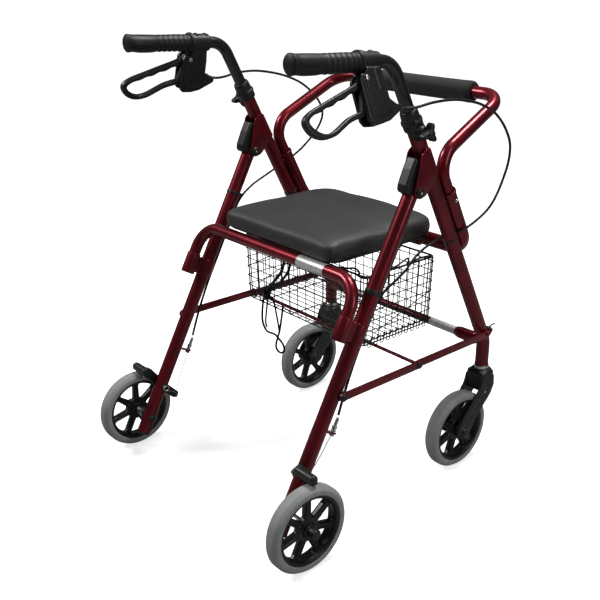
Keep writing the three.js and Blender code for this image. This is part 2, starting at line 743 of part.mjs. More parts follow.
function frontLink() {
  const pinTip = SIDE_X + 11.6;
  const shoulder = linkInnerX + 1;
  const head = linkInnerX + 7;
  const profile = [
    [pinTip, 0], [pinTip, 3.4], [shoulder, 3.4], [shoulder, 6.5], [head - 1, 6.5], [head, 4], [head, 0],
  ];
  return join(
    flatBar(LINK_MID_Y, LINK_FRONT_Y, linkInnerX, LINK_MID_Y),
    turnedX(profile, LINK_FRONT_Y, LINK_Z + 1, 10),
  );
}

const rearLink = () =>
  join(
    flatBar(LINK_REAR_Y, LINK_MID_Y, linkOuterX, LINK_MID_Y),
    turnedX(
      [[linkInnerX, 0], [linkInnerX, 6.5], [linkOuterX + 5, 6.5], [linkOuterX + 6, 4], [linkOuterX + 6, 0]],
      LINK_REAR_Y,
      LINK_Z,
      10,
    ),
  );

const linkRod = () => {
  const end = linkOuterX + LINK_T + 2;
  return rodX(-end, end, ROD_R, LINK_MID_Y, LINK_Z, 8);
};

// The pull strap is a soft loop under the rear seat bar with a hanging tail. One slim bar stands in for it.
function pullStrap() {
  const top = at(43, REAR_BAR.y + 4, REAR_BAR.z - BAR_R - 3);
  const knot = at(-84, -16, 316);
  const tail = at(-62, -20, 222);
  return sweep([top, knot, tail], 12, 4, 0, 0, 6);
}

// ---- basket ----
const BASKET = { halfTop: 170, halfBottom: 164, y0: -6, y1: 167, z0: 288, z1: 421, wall: 3 };
function basket() {
  const { halfTop, halfBottom, y0, y1, z0, z1, wall } = BASKET;
  const trough = (inset, low, high) => {
    const flare = (halfTop - halfBottom) / (z1 - z0);
    const halfAt = (z) => halfBottom + flare * (z - z0) - inset;
    const shape = new THREE.Shape(
      [[-halfAt(low), low], [halfAt(low), low], [halfAt(high), high], [-halfAt(high), high]]
        .map(([x, z]) => new THREE.Vector2(x, z)),
    );
    return new THREE.ExtrudeGeometry(shape, { depth: y1 - y0 - 2 * inset, bevelEnabled: false })
      .rotateX(Math.PI / 2)
      .translate(0, y1 - inset, 0);
  };
  return cut(trough(0, z0, z1), trough(wall, z0 + wall, z1 + 5));
}

// ---- assembly ----
const walker = new THREE.Group();

function add(parent, name, geometry, material) {
  const mesh = new THREE.Mesh(geometry, material);
  mesh.name = name;
  parent.add(mesh);
}

const sidePieces = [
  ["front_leg", frontLeg(), paint],
  ["handle_collar", handleCollar(), blackPlastic],
  ["height_knob", heightKnob(), blackPlastic],
  ["fold_bracket", foldBracket(), paint],
  ["fold_pin", foldPin(), zinc],
  ["backrest_button", socketButton(), zinc],
  ["caster_bearing", casterBearing(), zinc],
  ["rear_leg", rearLeg(), paint],
  ["hinge_cap", hingeCap(), blackPlastic],
  ["seat_bar_bracket", seatBarBracket(), paint],
  ["brake_cable", brakeCable(), rubber],
  ["rear_axle", rearAxle(), zinc],
  ["brake_arm", brakeArm(), blackPlastic],
  ["handle_tube", handleTube(), blackPaint],
  ["hand_grip", handGrip(), rubber],
  ["brake_housing", brakeHousing(), blackPlastic],
  ["brake_lever", brakeLever(), blackPlastic],
  ["rear_tyre", tyre(REAR_WHEEL.x, REAR_WHEEL.y), tyreRubber],
  ["rear_rim", rim(REAR_WHEEL.x, REAR_WHEEL.y, 12), blackPlastic],
  ["front_fork", frontFork(), blackPlastic],
  ["front_axle", frontAxle(), zinc],
  ["front_tyre", tyre(SIDE_X, FRONT_WHEEL_Y), tyreRubber],
  ["front_rim", rim(SIDE_X, FRONT_WHEEL_Y, 15.6), blackPlastic],
  ["front_link", frontLink(), paint],
  ["rear_link", rearLink(), paint],
];

for (const [side, sign] of [["right", 1], ["left", -1]]) {
  const half = new THREE.Group();
  half.scale.x = sign;
  for (const [name, geometry, material] of sidePieces)
    add(half, name + "_" + side, geometry, material());
  walker.add(half);
}

add(walker, "seat_front_bar", seatFrontBar(), paint());
add(walker, "backrest_tube", backrestTube(), paint());
add(walker, "backrest_foam", backrestFoam(), foam());
add(walker, "front_cross_tube", frontCrossTube(), paint());
add(walker, "rear_seat_bar", rearSeatBar(), paint());
add(walker, "seat_pad", seatPad(), vinyl());
add(walker, "seat_board", seatBoard(), blackPlastic());
add(walker, "link_rod", linkRod(), paint());
add(walker, "pull_strap", pullStrap(), webbing());
add(walker, "basket", basket(), wire());

export default walker;
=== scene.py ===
import json
import math

import bmesh
import bpy
import numpy as np
from mathutils import Matrix, Vector, noise
from mathutils.bvhtree import BVHTree


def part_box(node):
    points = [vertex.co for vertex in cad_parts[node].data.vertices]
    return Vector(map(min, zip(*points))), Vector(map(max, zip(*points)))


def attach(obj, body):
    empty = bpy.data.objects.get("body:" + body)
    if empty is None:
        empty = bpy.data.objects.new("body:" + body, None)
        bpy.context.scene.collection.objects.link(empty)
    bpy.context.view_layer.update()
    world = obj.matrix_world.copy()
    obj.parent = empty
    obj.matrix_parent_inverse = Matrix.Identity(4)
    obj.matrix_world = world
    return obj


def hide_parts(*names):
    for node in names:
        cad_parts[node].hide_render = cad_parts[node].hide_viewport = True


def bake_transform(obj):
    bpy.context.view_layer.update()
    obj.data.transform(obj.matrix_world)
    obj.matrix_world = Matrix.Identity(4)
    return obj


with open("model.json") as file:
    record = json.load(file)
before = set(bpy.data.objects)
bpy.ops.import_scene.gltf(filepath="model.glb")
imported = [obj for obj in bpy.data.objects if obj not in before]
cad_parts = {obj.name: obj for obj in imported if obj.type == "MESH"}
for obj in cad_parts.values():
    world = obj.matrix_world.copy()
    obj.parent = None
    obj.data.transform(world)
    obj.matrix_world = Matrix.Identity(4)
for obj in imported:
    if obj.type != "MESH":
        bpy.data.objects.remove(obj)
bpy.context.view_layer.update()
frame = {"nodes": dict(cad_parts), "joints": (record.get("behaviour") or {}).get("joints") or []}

MM = 0.001
JOINTS = {j["name"]: j for j in frame["joints"]}


def vec(*c):
    return np.array(c, float)


def joint_at(name):
    return vec(*JOINTS[name]["pos_m"]) / MM


def box(node):
    low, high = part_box(node)
    return vec(*low) / MM, vec(*high) / MM


def unit(v):
    return v / np.linalg.norm(v)


def at_x(x, point):
    """The point moved sideways to x."""
    return vec(x, point[1], point[2])


# ---- places taken from the frame ----
X_AXIS, Y_AXIS, Z_AXIS = vec(1, 0, 0), vec(0, 1, 0), vec(0, 0, 1)
KNOB = joint_at("height_knob_turn_right")  # on the front leg's axis
FRONT_UP = unit(vec(*JOINTS["handle_height_right"]["axis"]))
SPINDLE = joint_at("brake_arm_press_right")  # on the rear leg's axis
FORK = joint_at("front_fork_swivel_right")
REAR_HUB = joint_at("rear_wheel_spin_right")
FRONT_HUB = joint_at("front_wheel_spin_right")
PIVOT = joint_at("fold")
LEVER = joint_at("brake_lever_squeeze_right")
FRONT_BAR = joint_at("seat_flip")
LINK_FRONT = joint_at("front_links_turn")
LINK_MID = joint_at("rear_links_turn")
SIDE = KNOB[0]

LEG_R = 12.7
BORE_R = 10.9
HANDLE_R = 10.5
BAR_R = 11.0
SOCKET_R = 13.2
SOCKET_AHEAD = 26.2  # the backrest sockets' axis lies this far ahead of the front leg's
CABLE_TAB_Z = 205.0  # the tab on the rear leg that holds the cable's adjuster


def node_points(node):
    mesh = frame["nodes"][node].data
    return np.array([v.co for v in mesh.vertices], float) / MM


def end_centre(node, direction, depth=0.6):
    """Middle of the end ring of a tube node that faces direction."""
    points = node_points(node)
    along = points @ direction
    return points[along > along.max() - depth].mean(0)


REAR_FOOT = end_centre("rear_leg_right", unit(vec(0, REAR_HUB[1] - SPINDLE[1], REAR_HUB[2] - SPINDLE[2])))
REAR_UP = unit(vec(0, SPINDLE[1] - REAR_FOOT[1], SPINDLE[2] - REAR_FOOT[2]))


def front_axis(z):
    """Point of the front leg's axis at height z."""
    return KNOB + FRONT_UP * (z - KNOB[2]) / FRONT_UP[2]


def rear_axis(z):
    return SPINDLE + REAR_UP * (z - SPINDLE[2]) / REAR_UP[2]


FRONT_AHEAD = vec(0, FRONT_UP[2], -FRONT_UP[1])  # square to the front leg, forward
REAR_AHEAD = vec(0, REAR_UP[2], -REAR_UP[1])


def beside_front(z, ahead, out=0.0):
    return front_axis(z) + FRONT_AHEAD * ahead + X_AXIS * out


def beside_rear(z, ahead, out=0.0):
    return rear_axis(z) + REAR_AHEAD * ahead + X_AXIS * out


# ---- mesh helpers: a shape is (points, faces) ----
def merge(*shapes):
    points, faces, start = [], [], 0
    for p, f in shapes:
        points.append(np.asarray(p, float))
        faces += [tuple(i + start for i in face) for face in f]
        start += len(p)
    return np.vstack(points), faces


def moved(shape, offset):
    return shape[0] + offset, shape[1]


def placed(shape, origin, ex, ey, ez):
    """Takes a shape drawn in local x, y, z to an origin and three axes."""
    p = shape[0]
    return origin + p[:, :1] * ex + p[:, 1:2] * ey + p[:, 2:3] * ez, shape[1]


def mirrored(shape):
    return shape[0] * vec(-1, 1, 1), [tuple(reversed(f)) for f in shape[1]]


def bent(corners, radius, step=6.0):
    """Straight runs joined by round bends; step is in degrees."""
    corners = [np.asarray(c, float) for c in corners]
    path = [corners[0]]
    for before, corner, after in zip(corners, corners[1:], corners[2:]):
        into, out = unit(corner - before), unit(after - corner)
        turn = math.acos(np.clip(into @ out, -1, 1))
        reach = radius * math.tan(turn / 2)
        inward = unit(out - into * (into @ out))
        start = corner - into * reach
        count = max(2, math.ceil(math.degrees(turn) / step))
        for k in range(count + 1):
            a = turn * k / count
            path.append(start + into * radius * math.sin(a) + inward * radius * (1 - math.cos(a)))
    path.append(corners[-1])
    return np.array(path)


def spline(points, per=8, closed=False):
    """A smooth curve through the points (Catmull-Rom)."""
    p = [np.asarray(q, float) for q in points]
    n = len(p)
    out = []
    for i in range(n if closed else n - 1):
        if closed:
            a, b, c, d = p[i - 1], p[i], p[(i + 1) % n], p[(i + 2) % n]
        else:
            a, b, c, d = p[max(i - 1, 0)], p[i], p[i + 1], p[min(i + 2, n - 1)]
        for k in range(per):
            t = k / per
            out.append(0.5 * (2 * b + (c - a) * t + (2 * a - 5 * b + 4 * c - d) * t * t
                              + (3 * b - a - 3 * c + d) * t ** 3))
    if not closed:
        out.append(p[-1])
    return np.array(out)


def rounded(points, radius, steps=4):
    """A closed flat outline with its corners rounded. A point's third value is its own corner radius."""
    out = []
    n = len(points)
    for i, q in enumerate(points):
        p = vec(*q[:2])
        r = q[2] if len(q) > 2 else radius
        a, b = vec(*points[i - 1][:2]) - p, vec(*points[(i + 1) % n][:2]) - p
        la, lb = np.linalg.norm(a), np.linalg.norm(b)
        half = math.acos(np.clip(a @ b / (la * lb), -1, 1)) / 2
        reach = min(r / max(math.tan(half), 1e-6), 0.48 * la, 0.48 * lb)
        if r <= 0 or half > math.radians(88):
            out.append(p)
            continue
        s, e = p + a / la * reach, p + b / lb * reach
        for k in range(steps + 1):
            t = k / steps
            out.append((1 - t) ** 2 * s + 2 * t * (1 - t) * p + t * t * e)
    return np.array(out)


def around(centre, *points):
    """Outline points given from a centre's y and z; a third value stays that corner's radius."""
    return [(centre[1] + p[0], centre[2] + p[1], *p[2:]) for p in points]


def rect(x0, y0, x1, y1):
    return [(x0, y0), (x1, y0), (x1, y1), (x0, y1)]


def ring_grid(rings, closed=False):
    """Joins equal rings of points into one surface, capped at both ends unless closed."""
    count = len(rings[0])
    faces = []
    last = len(rings) if closed else len(rings) - 1
    for i in range(last):
        a, b = i * count, ((i + 1) % len(rings)) * count
        for k in range(count):
            j = (k + 1) % count
            faces.append((a + k, a + j, b + j, b + k))
    if not closed:
        faces.append(tuple(reversed(range(count))))
        faces.append(tuple(range((len(rings) - 1) * count, len(rings) * count)))
    return np.vstack(rings), faces


def skin(centres, tangents, radii, sides=28, closed=False, shape=None):
    """Rings of the given radii round a line of centres. shape(i, angle) scales a ring point."""
    first = tangents[0]
    normal = np.cross(first, X_AXIS if abs(first[0]) < 0.9 else Z_AXIS)
    angles = np.arange(sides) * 2 * math.pi / sides
    rings = []
    for i, (c, t, r) in enumerate(zip(centres, tangents, radii)):
        normal = unit(normal - t * (normal @ t))
        side = np.cross(t, normal)
        scale = np.array([shape(i, a) for a in angles]) if shape else 1.0
        ring = c + np.outer(np.cos(angles) * r * scale, normal) + np.outer(np.sin(angles) * r * scale, side)
        rings.append(ring)
    return ring_grid(rings, closed)


def tangents_of(path, closed=False):
    ahead = np.roll(path, -1, 0) - path
    back = path - np.roll(path, 1, 0)
    if not closed:
        ahead[-1], back[0] = back[-1], ahead[0]
    size = lambda v: np.maximum(np.linalg.norm(v, axis=1)[:, None], 1e-9)
    t = ahead / size(ahead) + back / size(back)
    return t / size(t)


def tube(path, radius, edge=0.5, bore=0.0, depth=14.0, sides=28):
    """A round tube along a path, with eased ends, and a bore of some depth at each end if asked."""
    path = np.asarray(path, float)
    t = tangents_of(path)
    start, end, ts, te = path[0], path[-1], t[0], t[-1]
    rows = [(start, ts, radius - edge), (start + ts * edge, ts, radius)]
    if bore:
        rows = [(start + ts * depth, ts, bore), (start + ts * edge, ts, bore),
                (start, ts, bore + edge)] + rows
    rows += [(p, q, radius) for p, q in zip(path[1:-1], t[1:-1])]
    rows += [(end - te * edge, te, radius), (end, te, radius - edge)]
    if bore:
        rows += [(end, te, bore + edge), (end - te * edge, te, bore), (end - te * depth, te, bore)]
    return skin(*zip(*rows), sides=sides)


def wire(points, radius, sides=8, closed=False):
    path = np.asarray(points, float)
    return skin(path, tangents_of(path, closed), [radius] * len(path), sides, closed)


def lathe(profile, origin, axis, sides=36, closed=False):
    """Turns a profile of (distance along axis, radius) about the axis through origin."""
    centres = [origin + axis * s for s, _ in profile]
    return skin(centres, [axis] * len(profile), [max(r, 0.01) for _, r in profile], sides, closed)


def turned(profile, ease, origin, axis, sides=36, closed=False):
    """A lathe whose profile corners are eased."""
    if not closed:
        profile = [(*profile[0], 0), *profile[1:-1], (*profile[-1], 0)]
    return lathe(rounded(profile, ease, 3), origin, axis, sides, closed)


def band(start, stop, inner, outer, ease, origin, axis=X_AXIS, sides=36):
    """A sleeve with eased corners, between two distances along the axis."""
    profile = [(start, inner), (start, outer), (stop, outer), (stop, inner)]
    return turned(profile, ease, origin, axis, sides, True)


def show(name, data):
    """A new object of the data, in the scene."""
    obj = bpy.data.objects.new(name, data)
    bpy.context.scene.collection.objects.link(obj)
    return obj


def baked(obj):
    """A new mesh of the object as its modifiers leave it."""
    graph = bpy.context.evaluated_depsgraph_get()
    return bpy.data.meshes.new_from_object(obj.evaluated_get(graph))


def curve_plate(outline, depth, bevel, holes=()):
    """A flat plate with rounded edges, centred on local z = 0, drawn in local x and y."""
    data = bpy.data.curves.new("plate", "CURVE")
    data.dimensions = "2D"
    data.fill_mode = "BOTH"
    for loop in (outline, *holes):
        s = data.splines.new("POLY")
        s.points.add(len(loop) - 1)
        for point, (u, v) in zip(s.points, loop):
            point.co = (u, v, 0, 1)
        s.use_cyclic_u = True
    data.extrude = depth / 2 - bevel
    data.bevel_depth = bevel
    data.bevel_resolution = 2
    data.offset = -bevel
    mesh = baked(show("plate", data))
    bpy.data.curves.remove(data)
    return from_mesh(mesh, 1)


def side_plate(outline, x0, x1, bevel, holes=()):
    """A plate drawn as (y, z), thick from x0 to x1."""
    shape = curve_plate(outline, x1 - x0, bevel, holes)
    return placed(shape, vec((x0 + x1) / 2, 0, 0), Y_AXIS, Z_AXIS, X_AXIS)


def level_plate(outline, z0, z1, bevel):
    """A plate drawn as (x, y), thick from z0 to z1."""
    return moved(curve_plate(outline, z1 - z0, bevel), vec(0, 0, (z0 + z1) / 2))


def block(size, ease, origin, ex=X_AXIS, ey=Y_AXIS, ez=Z_AXIS):
    """A box with rounded edges."""
    a, b = size[0] / 2, size[1] / 2
    outline = rounded(rect(-a, -b, a, b), ease * 1.6, 3)
    return placed(curve_plate(outline, size[2], ease), origin, ex, ey, ez)


def to_mesh(shape, name="shape"):
    mesh = bpy.data.meshes.new(name)
    mesh.from_pydata((shape[0] * MM).tolist(), [], shape[1])
    work = bmesh.new()
    work.from_mesh(mesh)
    bmesh.ops.remove_doubles(work, verts=work.verts, dist=2e-6)
    bmesh.ops.dissolve_degenerate(work, dist=1e-6, edges=work.edges)
    bmesh.ops.recalc_face_normals(work, faces=work.faces)
    work.to_mesh(mesh)
    work.free()
    return mesh


def from_mesh(mesh, unit_length=MM):
    points = np.array([v.co for v in mesh.vertices], float) / unit_length
    return points, [tuple(f.vertices) for f in mesh.polygons]


def with_modifiers(shape, *settings):
    """Runs modifiers, each given as (type, {property: value}), on a shape."""
    holder = show("work", to_mesh(shape))
    for kind, values in settings:
        modifier = holder.modifiers.new(kind, kind)
        for key, value in values.items():
            setattr(modifier, key, value)
    mesh = baked(holder)
    bpy.data.objects.remove(holder)
    return from_mesh(mesh)


def moulded(shape, voxel=0.8, passes=4):
    """Melts overlapping solids into one skin with small fillets, as moulded plastic has."""
    return with_modifiers(shape, ("REMESH", {"mode": "VOXEL", "voxel_size": voxel * MM, "adaptivity": 0.0}),
                          ("SMOOTH", {"factor": 0.5, "iterations": passes}))


def carved(shape, tool):
    holder = show("tool", to_mesh(tool))
    out = with_modifiers(shape, ("BOOLEAN", {"operation": "DIFFERENCE", "object": holder, "solver": "EXACT"}))
    bpy.data.objects.remove(holder)
    return out


# ---- materials ----
class Nodes:
    """Builds one procedural material around a Principled shader."""

    def __init__(self, name):
        self.material = bpy.data.materials.new(name)
        self.material.use_nodes = True
        self.tree = self.material.node_tree
        self.shader = self.tree.nodes["Principled BSDF"]
        self.place = self.add("ShaderNodeTexCoord").outputs["Object"]

    def add(self, kind, inputs=None, **values):
        node = self.tree.nodes.new(kind)
        for key, value in values.items():
            setattr(node, key, value)
        for key, value in (inputs or {}).items():
            if isinstance(value, bpy.types.NodeSocket):
                self.tree.links.new(value, node.inputs[key])
            else:
                node.inputs[key].default_value = value
        return node

    def noise(self, scale, detail=3.0, rough=0.5):
        node = self.add("ShaderNodeTexNoise", {"Vector": self.place, "Scale": scale, "Detail": detail,
                                               "Roughness": rough})
        return node.outputs["Fac"]

    def cells(self, scale, feature="F1"):
        return self.add("ShaderNodeTexVoronoi", {"Vector": self.place, "Scale": scale},
                        feature=feature).outputs["Distance"]

    def stripes(self, scale, direction, distortion=0.0):
        return self.add("ShaderNodeTexWave", {"Vector": self.place, "Scale": scale, "Distortion": distortion},
                        bands_direction=direction).outputs["Fac"]

    def remap(self, value, low, high, start=0.0, stop=1.0):
        return self.add("ShaderNodeMapRange", {"Value": value, "From Min": start, "From Max": stop,
                                               "To Min": low, "To Max": high}).outputs["Result"]

    def maths(self, operation, a, b):
        return self.add("ShaderNodeMath", {0: a, 1: b}, operation=operation).outputs[0]

    def blend(self, amount, a, b):
        node = self.add("ShaderNodeMix", data_type="RGBA")
        for key, value in ((0, amount), (6, a), (7, b)):
            if isinstance(value, bpy.types.NodeSocket):
                self.tree.links.new(value, node.inputs[key])
            else:
                node.inputs[key].default_value = value if key == 0 else (*value, 1.0)
        return node.outputs[2]

    def mottled(self, scale, detail, start, stop, a, b, most=1.0):
        """Patches of a second colour on the first, by noise between start and stop."""
        return self.blend(self.remap(self.noise(scale, detail), 0.0, most, start, stop), a, b)

    def worn_edges(self, low, high, amount):
        """The amount on convex edges, 0 on flats."""
        pointiness = self.add("ShaderNodeNewGeometry").outputs["Pointiness"]
        return self.maths("MULTIPLY", self.remap(pointiness, 0.0, 1.0, low, high), amount)

    def bump(self, height, strength, distance):
        node = self.add("ShaderNodeBump", {"Height": height, "Strength": strength, "Distance": distance})
        self.tree.links.new(node.outputs["Normal"], self.shader.inputs["Normal"])

    def set(self, **values):
        for key, value in values.items():
            socket = self.shader.inputs[key.replace("_", " ")]
            if isinstance(value, bpy.types.NodeSocket):
                self.tree.links.new(value, socket)
            else:
                socket.default_value = (*value, 1.0) if isinstance(value, tuple) else value


def tint(colour, gain, lift=0.0):
    return tuple(c * gain + lift for c in colour)


def paint_material(name, colour, deep, edge, metal, rough):
    """Metallic lacquer under a clear coat: faint flakes, orange peel, and rubbed edges."""
    n = Nodes(name)
    tone = n.mottled(22.0, 3.0, 0.3, 0.7, deep, colour)
    tone = n.blend(n.remap(n.cells(2600.0), 0.12, 0.0, 0.0, 0.5), tone, edge)
    tone = n.blend(n.worn_edges(0.58, 0.7, 0.35), tone, edge)
    n.bump(n.noise(420.0, 2.0), 0.06, 0.0004)
    n.set(Base_Color=tone, Metallic=metal, Roughness=n.remap(n.noise(60.0), rough - 0.05, rough + 0.09),
          Coat_Weight=0.35, Coat_Roughness=n.remap(n.noise(35.0, 5.0), 0.04, 0.16))
    return n.material


def plastic_material(name, colour, rough, grain=900.0, depth=0.00012):
    """Moulded plastic: fine spark grain, random patches of painted sheen and edges rubbed lighter."""
    n = Nodes(name)
    # Random patches painted paler stand in for sheen: painted sheen.
    tone = n.mottled(30.0, 4.0, 0.3, 0.8, colour, tint(colour, 1.8, 0.0015), 0.5)
    tone = n.blend(n.worn_edges(0.53, 0.6, 0.5), tone, tint(colour, 2.4, 0.006))
    height = n.maths("ADD", n.noise(grain, 3.0), n.maths("MULTIPLY", n.cells(grain * 1.4), 0.5))
    n.bump(height, 0.35, depth)
    n.set(Base_Color=tone, Roughness=n.remap(n.noise(45.0, 5.0), rough - 0.08, rough + 0.12),
          Specular_IOR_Level=0.45)
    return n.material


def rubber_material(name, colour, rough, grain, depth, dust=0.0):
    """Rubber: a fine grain, paler rubbed edges and, on the tyres, patches of dust."""
    n = Nodes(name)
    tone = n.mottled(38.0, 5.0, 0.35, 0.75, tint(colour, 0.82), colour)
    if dust:
        tone = n.blend(n.remap(n.noise(16.0, 6.0, 0.7), 0.0, dust, 0.45, 0.8), tone, tint(colour, 0.62))
    tone = n.blend(n.worn_edges(0.52, 0.6, 0.25), tone, tint(colour, 1.3, 0.01))
    n.bump(n.maths("ADD", n.noise(grain, 4.0), n.maths("MULTIPLY", n.noise(grain * 0.2, 2.0), 0.6)), 0.5,
           depth)
    n.set(Base_Color=tone, Roughness=n.remap(n.noise(55.0), rough - 0.07, rough + 0.08),
          Specular_IOR_Level=0.35)
    return n.material


def foam_material():
    n = Nodes("backrest_foam")
    cells = n.cells(900.0)
    tone = n.blend(n.remap(cells, 1.0, 0.0, 0.0, 0.6), (0.018, 0.021, 0.019), (0.006, 0.0075, 0.0065))
    tone = n.mottled(25.0, 5.0, 0.4, 0.8, tone, (0.024, 0.028, 0.025), 0.5)
    n.bump(n.maths("ADD", cells, n.noise(1600.0, 2.0)), 0.7, 0.0004)
    n.set(Base_Color=tone, Roughness=0.88, Specular_IOR_Level=0.25, Sheen_Weight=0.12, Sheen_Roughness=0.5)
    return n.material


def vinyl_material():
    """Upholstery vinyl: a pebbled leather grain with soft creases and uneven sheen."""
    n = Nodes("seat_vinyl")
    pebble = n.cells(720.0, "SMOOTH_F1")
    crease = n.cells(340.0, "DISTANCE_TO_EDGE")
    tone = n.mottled(14.0, 4.0, 0.3, 0.7, (0.020, 0.0235, 0.021), (0.030, 0.034, 0.031))
    tone = n.blend(n.remap(pebble, 0.0, 0.45, 0.2, 0.9), tone, (0.012, 0.0145, 0.013))
    height = n.maths("SUBTRACT", n.remap(crease, 0.0, 1.0, 0.0, 0.12), n.maths("MULTIPLY", pebble, 0.5))
    n.bump(n.maths("ADD", height, n.maths("MULTIPLY", n.noise(60.0, 4.0), 0.5)), 0.35, 0.0005)
    n.set(Base_Color=tone, Roughness=n.remap(n.noise(20.0, 4.0), 0.42, 0.56), Specular_IOR_Level=0.5,
          Sheen_Weight=0.08, Sheen_Roughness=0.4)
    return n.material


def zinc_material():
    n = Nodes("bright_zinc")
    tone = n.mottled(240.0, 4.0, 0.3, 0.7, (0.50, 0.51, 0.52), (0.72, 0.73, 0.74))
    tone = n.mottled(70.0, 5.0, 0.5, 0.8, tone, (0.33, 0.31, 0.28), 0.35)
    n.bump(n.stripes(520.0, "X", 2.0), 0.12, 0.0001)
    n.set(Base_Color=tone, Metallic=1.0, Roughness=n.remap(n.noise(120.0, 4.0), 0.18, 0.4))
    return n.material


def webbing_material():
    n = Nodes("strap_webbing")
    weave = n.maths("MULTIPLY", n.stripes(420.0, "X"), n.stripes(420.0, "Z"))
    weave = n.maths("ADD", weave, n.maths("MULTIPLY", n.noise(900.0, 3.0), 0.4))
    tone = n.blend(weave, (0.003, 0.003, 0.003), (0.012, 0.0125, 0.012))
    n.bump(weave, 0.8, 0.0004)
    n.set(Base_Color=tone, Roughness=0.85, Sheen_Weight=0.04, Specular_IOR_Level=0.15)
    return n.material


def label_material():
    """A blank brushed silver foil band."""
    n = Nodes("silver_band")
    tone = n.mottled(160.0, 3.0, 0.3, 0.7, (0.60, 0.61, 0.60), (0.80, 0.81, 0.80))
    n.bump(n.stripes(700.0, "X", 1.0), 0.08, 0.0001)
    n.set(Base_Color=tone, Metallic=0.55, Roughness=n.remap(n.noise(40.0), 0.3, 0.45))
    return n.material


PAINT = dict(colour=(0.215, 0.0050, 0.0150), deep=(0.110, 0.0024, 0.0072), edge=(0.34, 0.018, 0.035))
MATERIALS = {
    "frame_paint": paint_material("frame_paint", **PAINT, metal=0.70, rough=0.33),
    "handle_paint": paint_material("handle_paint", (0.006, 0.0065, 0.0065), (0.004, 0.0045, 0.0045),
                                   (0.035, 0.037, 0.035), 0.0, 0.28),
    "black_plastic": plastic_material("black_plastic", (0.0070, 0.0085, 0.0076), 0.40),
    "wheel_plastic": plastic_material("wheel_plastic", (0.0045, 0.0055, 0.005), 0.34, 700.0, 0.00008),
    "bright_zinc": zinc_material(),
    "grey_tyre": rubber_material("grey_tyre", (0.345, 0.360, 0.350), 0.72, 800.0, 0.00025, 0.35),
    "grip_rubber": rubber_material("grip_rubber", (0.0085, 0.0100, 0.0088), 0.46, 1300.0, 0.0002),
    "cable_sheath": rubber_material("cable_sheath", (0.010, 0.010, 0.010), 0.42, 900.0, 0.00006),
    "backrest_foam": foam_material(),
    "seat_vinyl": vinyl_material(),
    "black_wire": plastic_material("black_wire", (0.008, 0.009, 0.009), 0.38, 600.0, 0.00005),
    "strap_webbing": webbing_material(),
    "silver_band": label_material(),
}


# ---- pieces ----
def piece(name, shape, finish, body, sharp=38.0, side=""):
    """One visible piece. A name with a dot starts with the CAD node that it stands for."""
    mesh = to_mesh(shape, name + side)
    mesh.shade_smooth()
    mesh.set_sharp_from_angle(angle=math.radians(sharp))
    mesh.materials.append(MATERIALS[finish])
    obj = show(name + side, mesh)
    if isinstance(body, str):
        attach(obj, body)
    else:
        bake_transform(obj)
    node, dot, _ = name.partition(".")
    if dot:
        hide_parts(node + side)


def pair(name, shape, finish, body, sharp=38.0):
    """The right piece and its mirror image. {} in body stands for the side."""
    for side, made in (("right", shape), ("left", mirrored(shape))):
        piece(name, made, finish, body.format(side), sharp, "_" + side)


def hex_nut(size, height, origin, axis):
    """A hexagonal nut or bolt head; size is across the corners."""
    profile = rounded([(0, size / 2 - 0.3), (height * 0.8, size / 2), (height, size / 2 - 1.0)], 0.2, 2)
    return lathe(profile, origin, axis, 6)


def dome(radius, height, origin, axis, sides=24):
    angles = [math.pi / 2 * k / 7 for k in range(7)]
    return lathe([(height * math.sin(a), radius * math.cos(a)) for a in angles], origin, axis, sides)


def front_frame():
    bottom = box("front_leg_right")[0][2]
    corner_z = KNOB[2] + (FORK[1] - KNOB[1]) * FRONT_UP[2] / FRONT_UP[1]
    foot = vec(SIDE, FORK[1], bottom)
    leg = tube(bent([front_axis(688), vec(SIDE, FORK[1], corner_z), foot], 60), LEG_R, bore=BORE_R, depth=8)
    crimp = turned([(0, 12.4), (0, 13.3), (2.4, 13.3), (3.4, 12.7), (3.4, 12.4)], 0.4, foot + Z_AXIS, Z_AXIS,
                   closed=True)
    pair("front_leg.tube", merge(leg, crimp), "frame_paint", "front_frame")

    bearing = turned([(0, 6.5), (0, 13.5), (1.2, 14), (5.4, 14), (7, 12.5), (7, 6.5)], 0.5,
                     foot - Z_AXIS * 7.4, Z_AXIS, closed=True)
    pair("caster_bearing.race", bearing, "bright_zinc", "front_frame")


def collar():
    """The plastic sleeve on top of the front leg, with the boss that holds the height knob."""
    base, top = front_axis(665), 37.0
    sleeve = turned([(3, 12.0), (3, 16.2), (19, 16.6), (21, 15.4), (top - 4, 14.6), (top, 13.2), (top, 11.0)],
                    0.8, base, FRONT_UP)
    ridge = band(14, 19, 15, 17.6, 1.0, base, FRONT_UP)
    boss = turned([(3, 14.5), (11, 14.0), (18, 10.5), (21.2, 8.0), (21.2, 3.4)], 1.2, KNOB, X_AXIS)
    gusset = rounded(around(KNOB, (-7, -9), (12, -14), (13, -2), (-2, 24), (-20, 18)), 5)
    leg_room = tube([base - FRONT_UP * 60, base + FRONT_UP * 2], 12.8, 0.1)
    body = moulded(merge(sleeve, ridge, boss, side_plate(gusset, SIDE + 3, SIDE + 16.5, 3)))
    pair("handle_collar.shell", carved(body, leg_room), "black_plastic", "front_frame", 50)


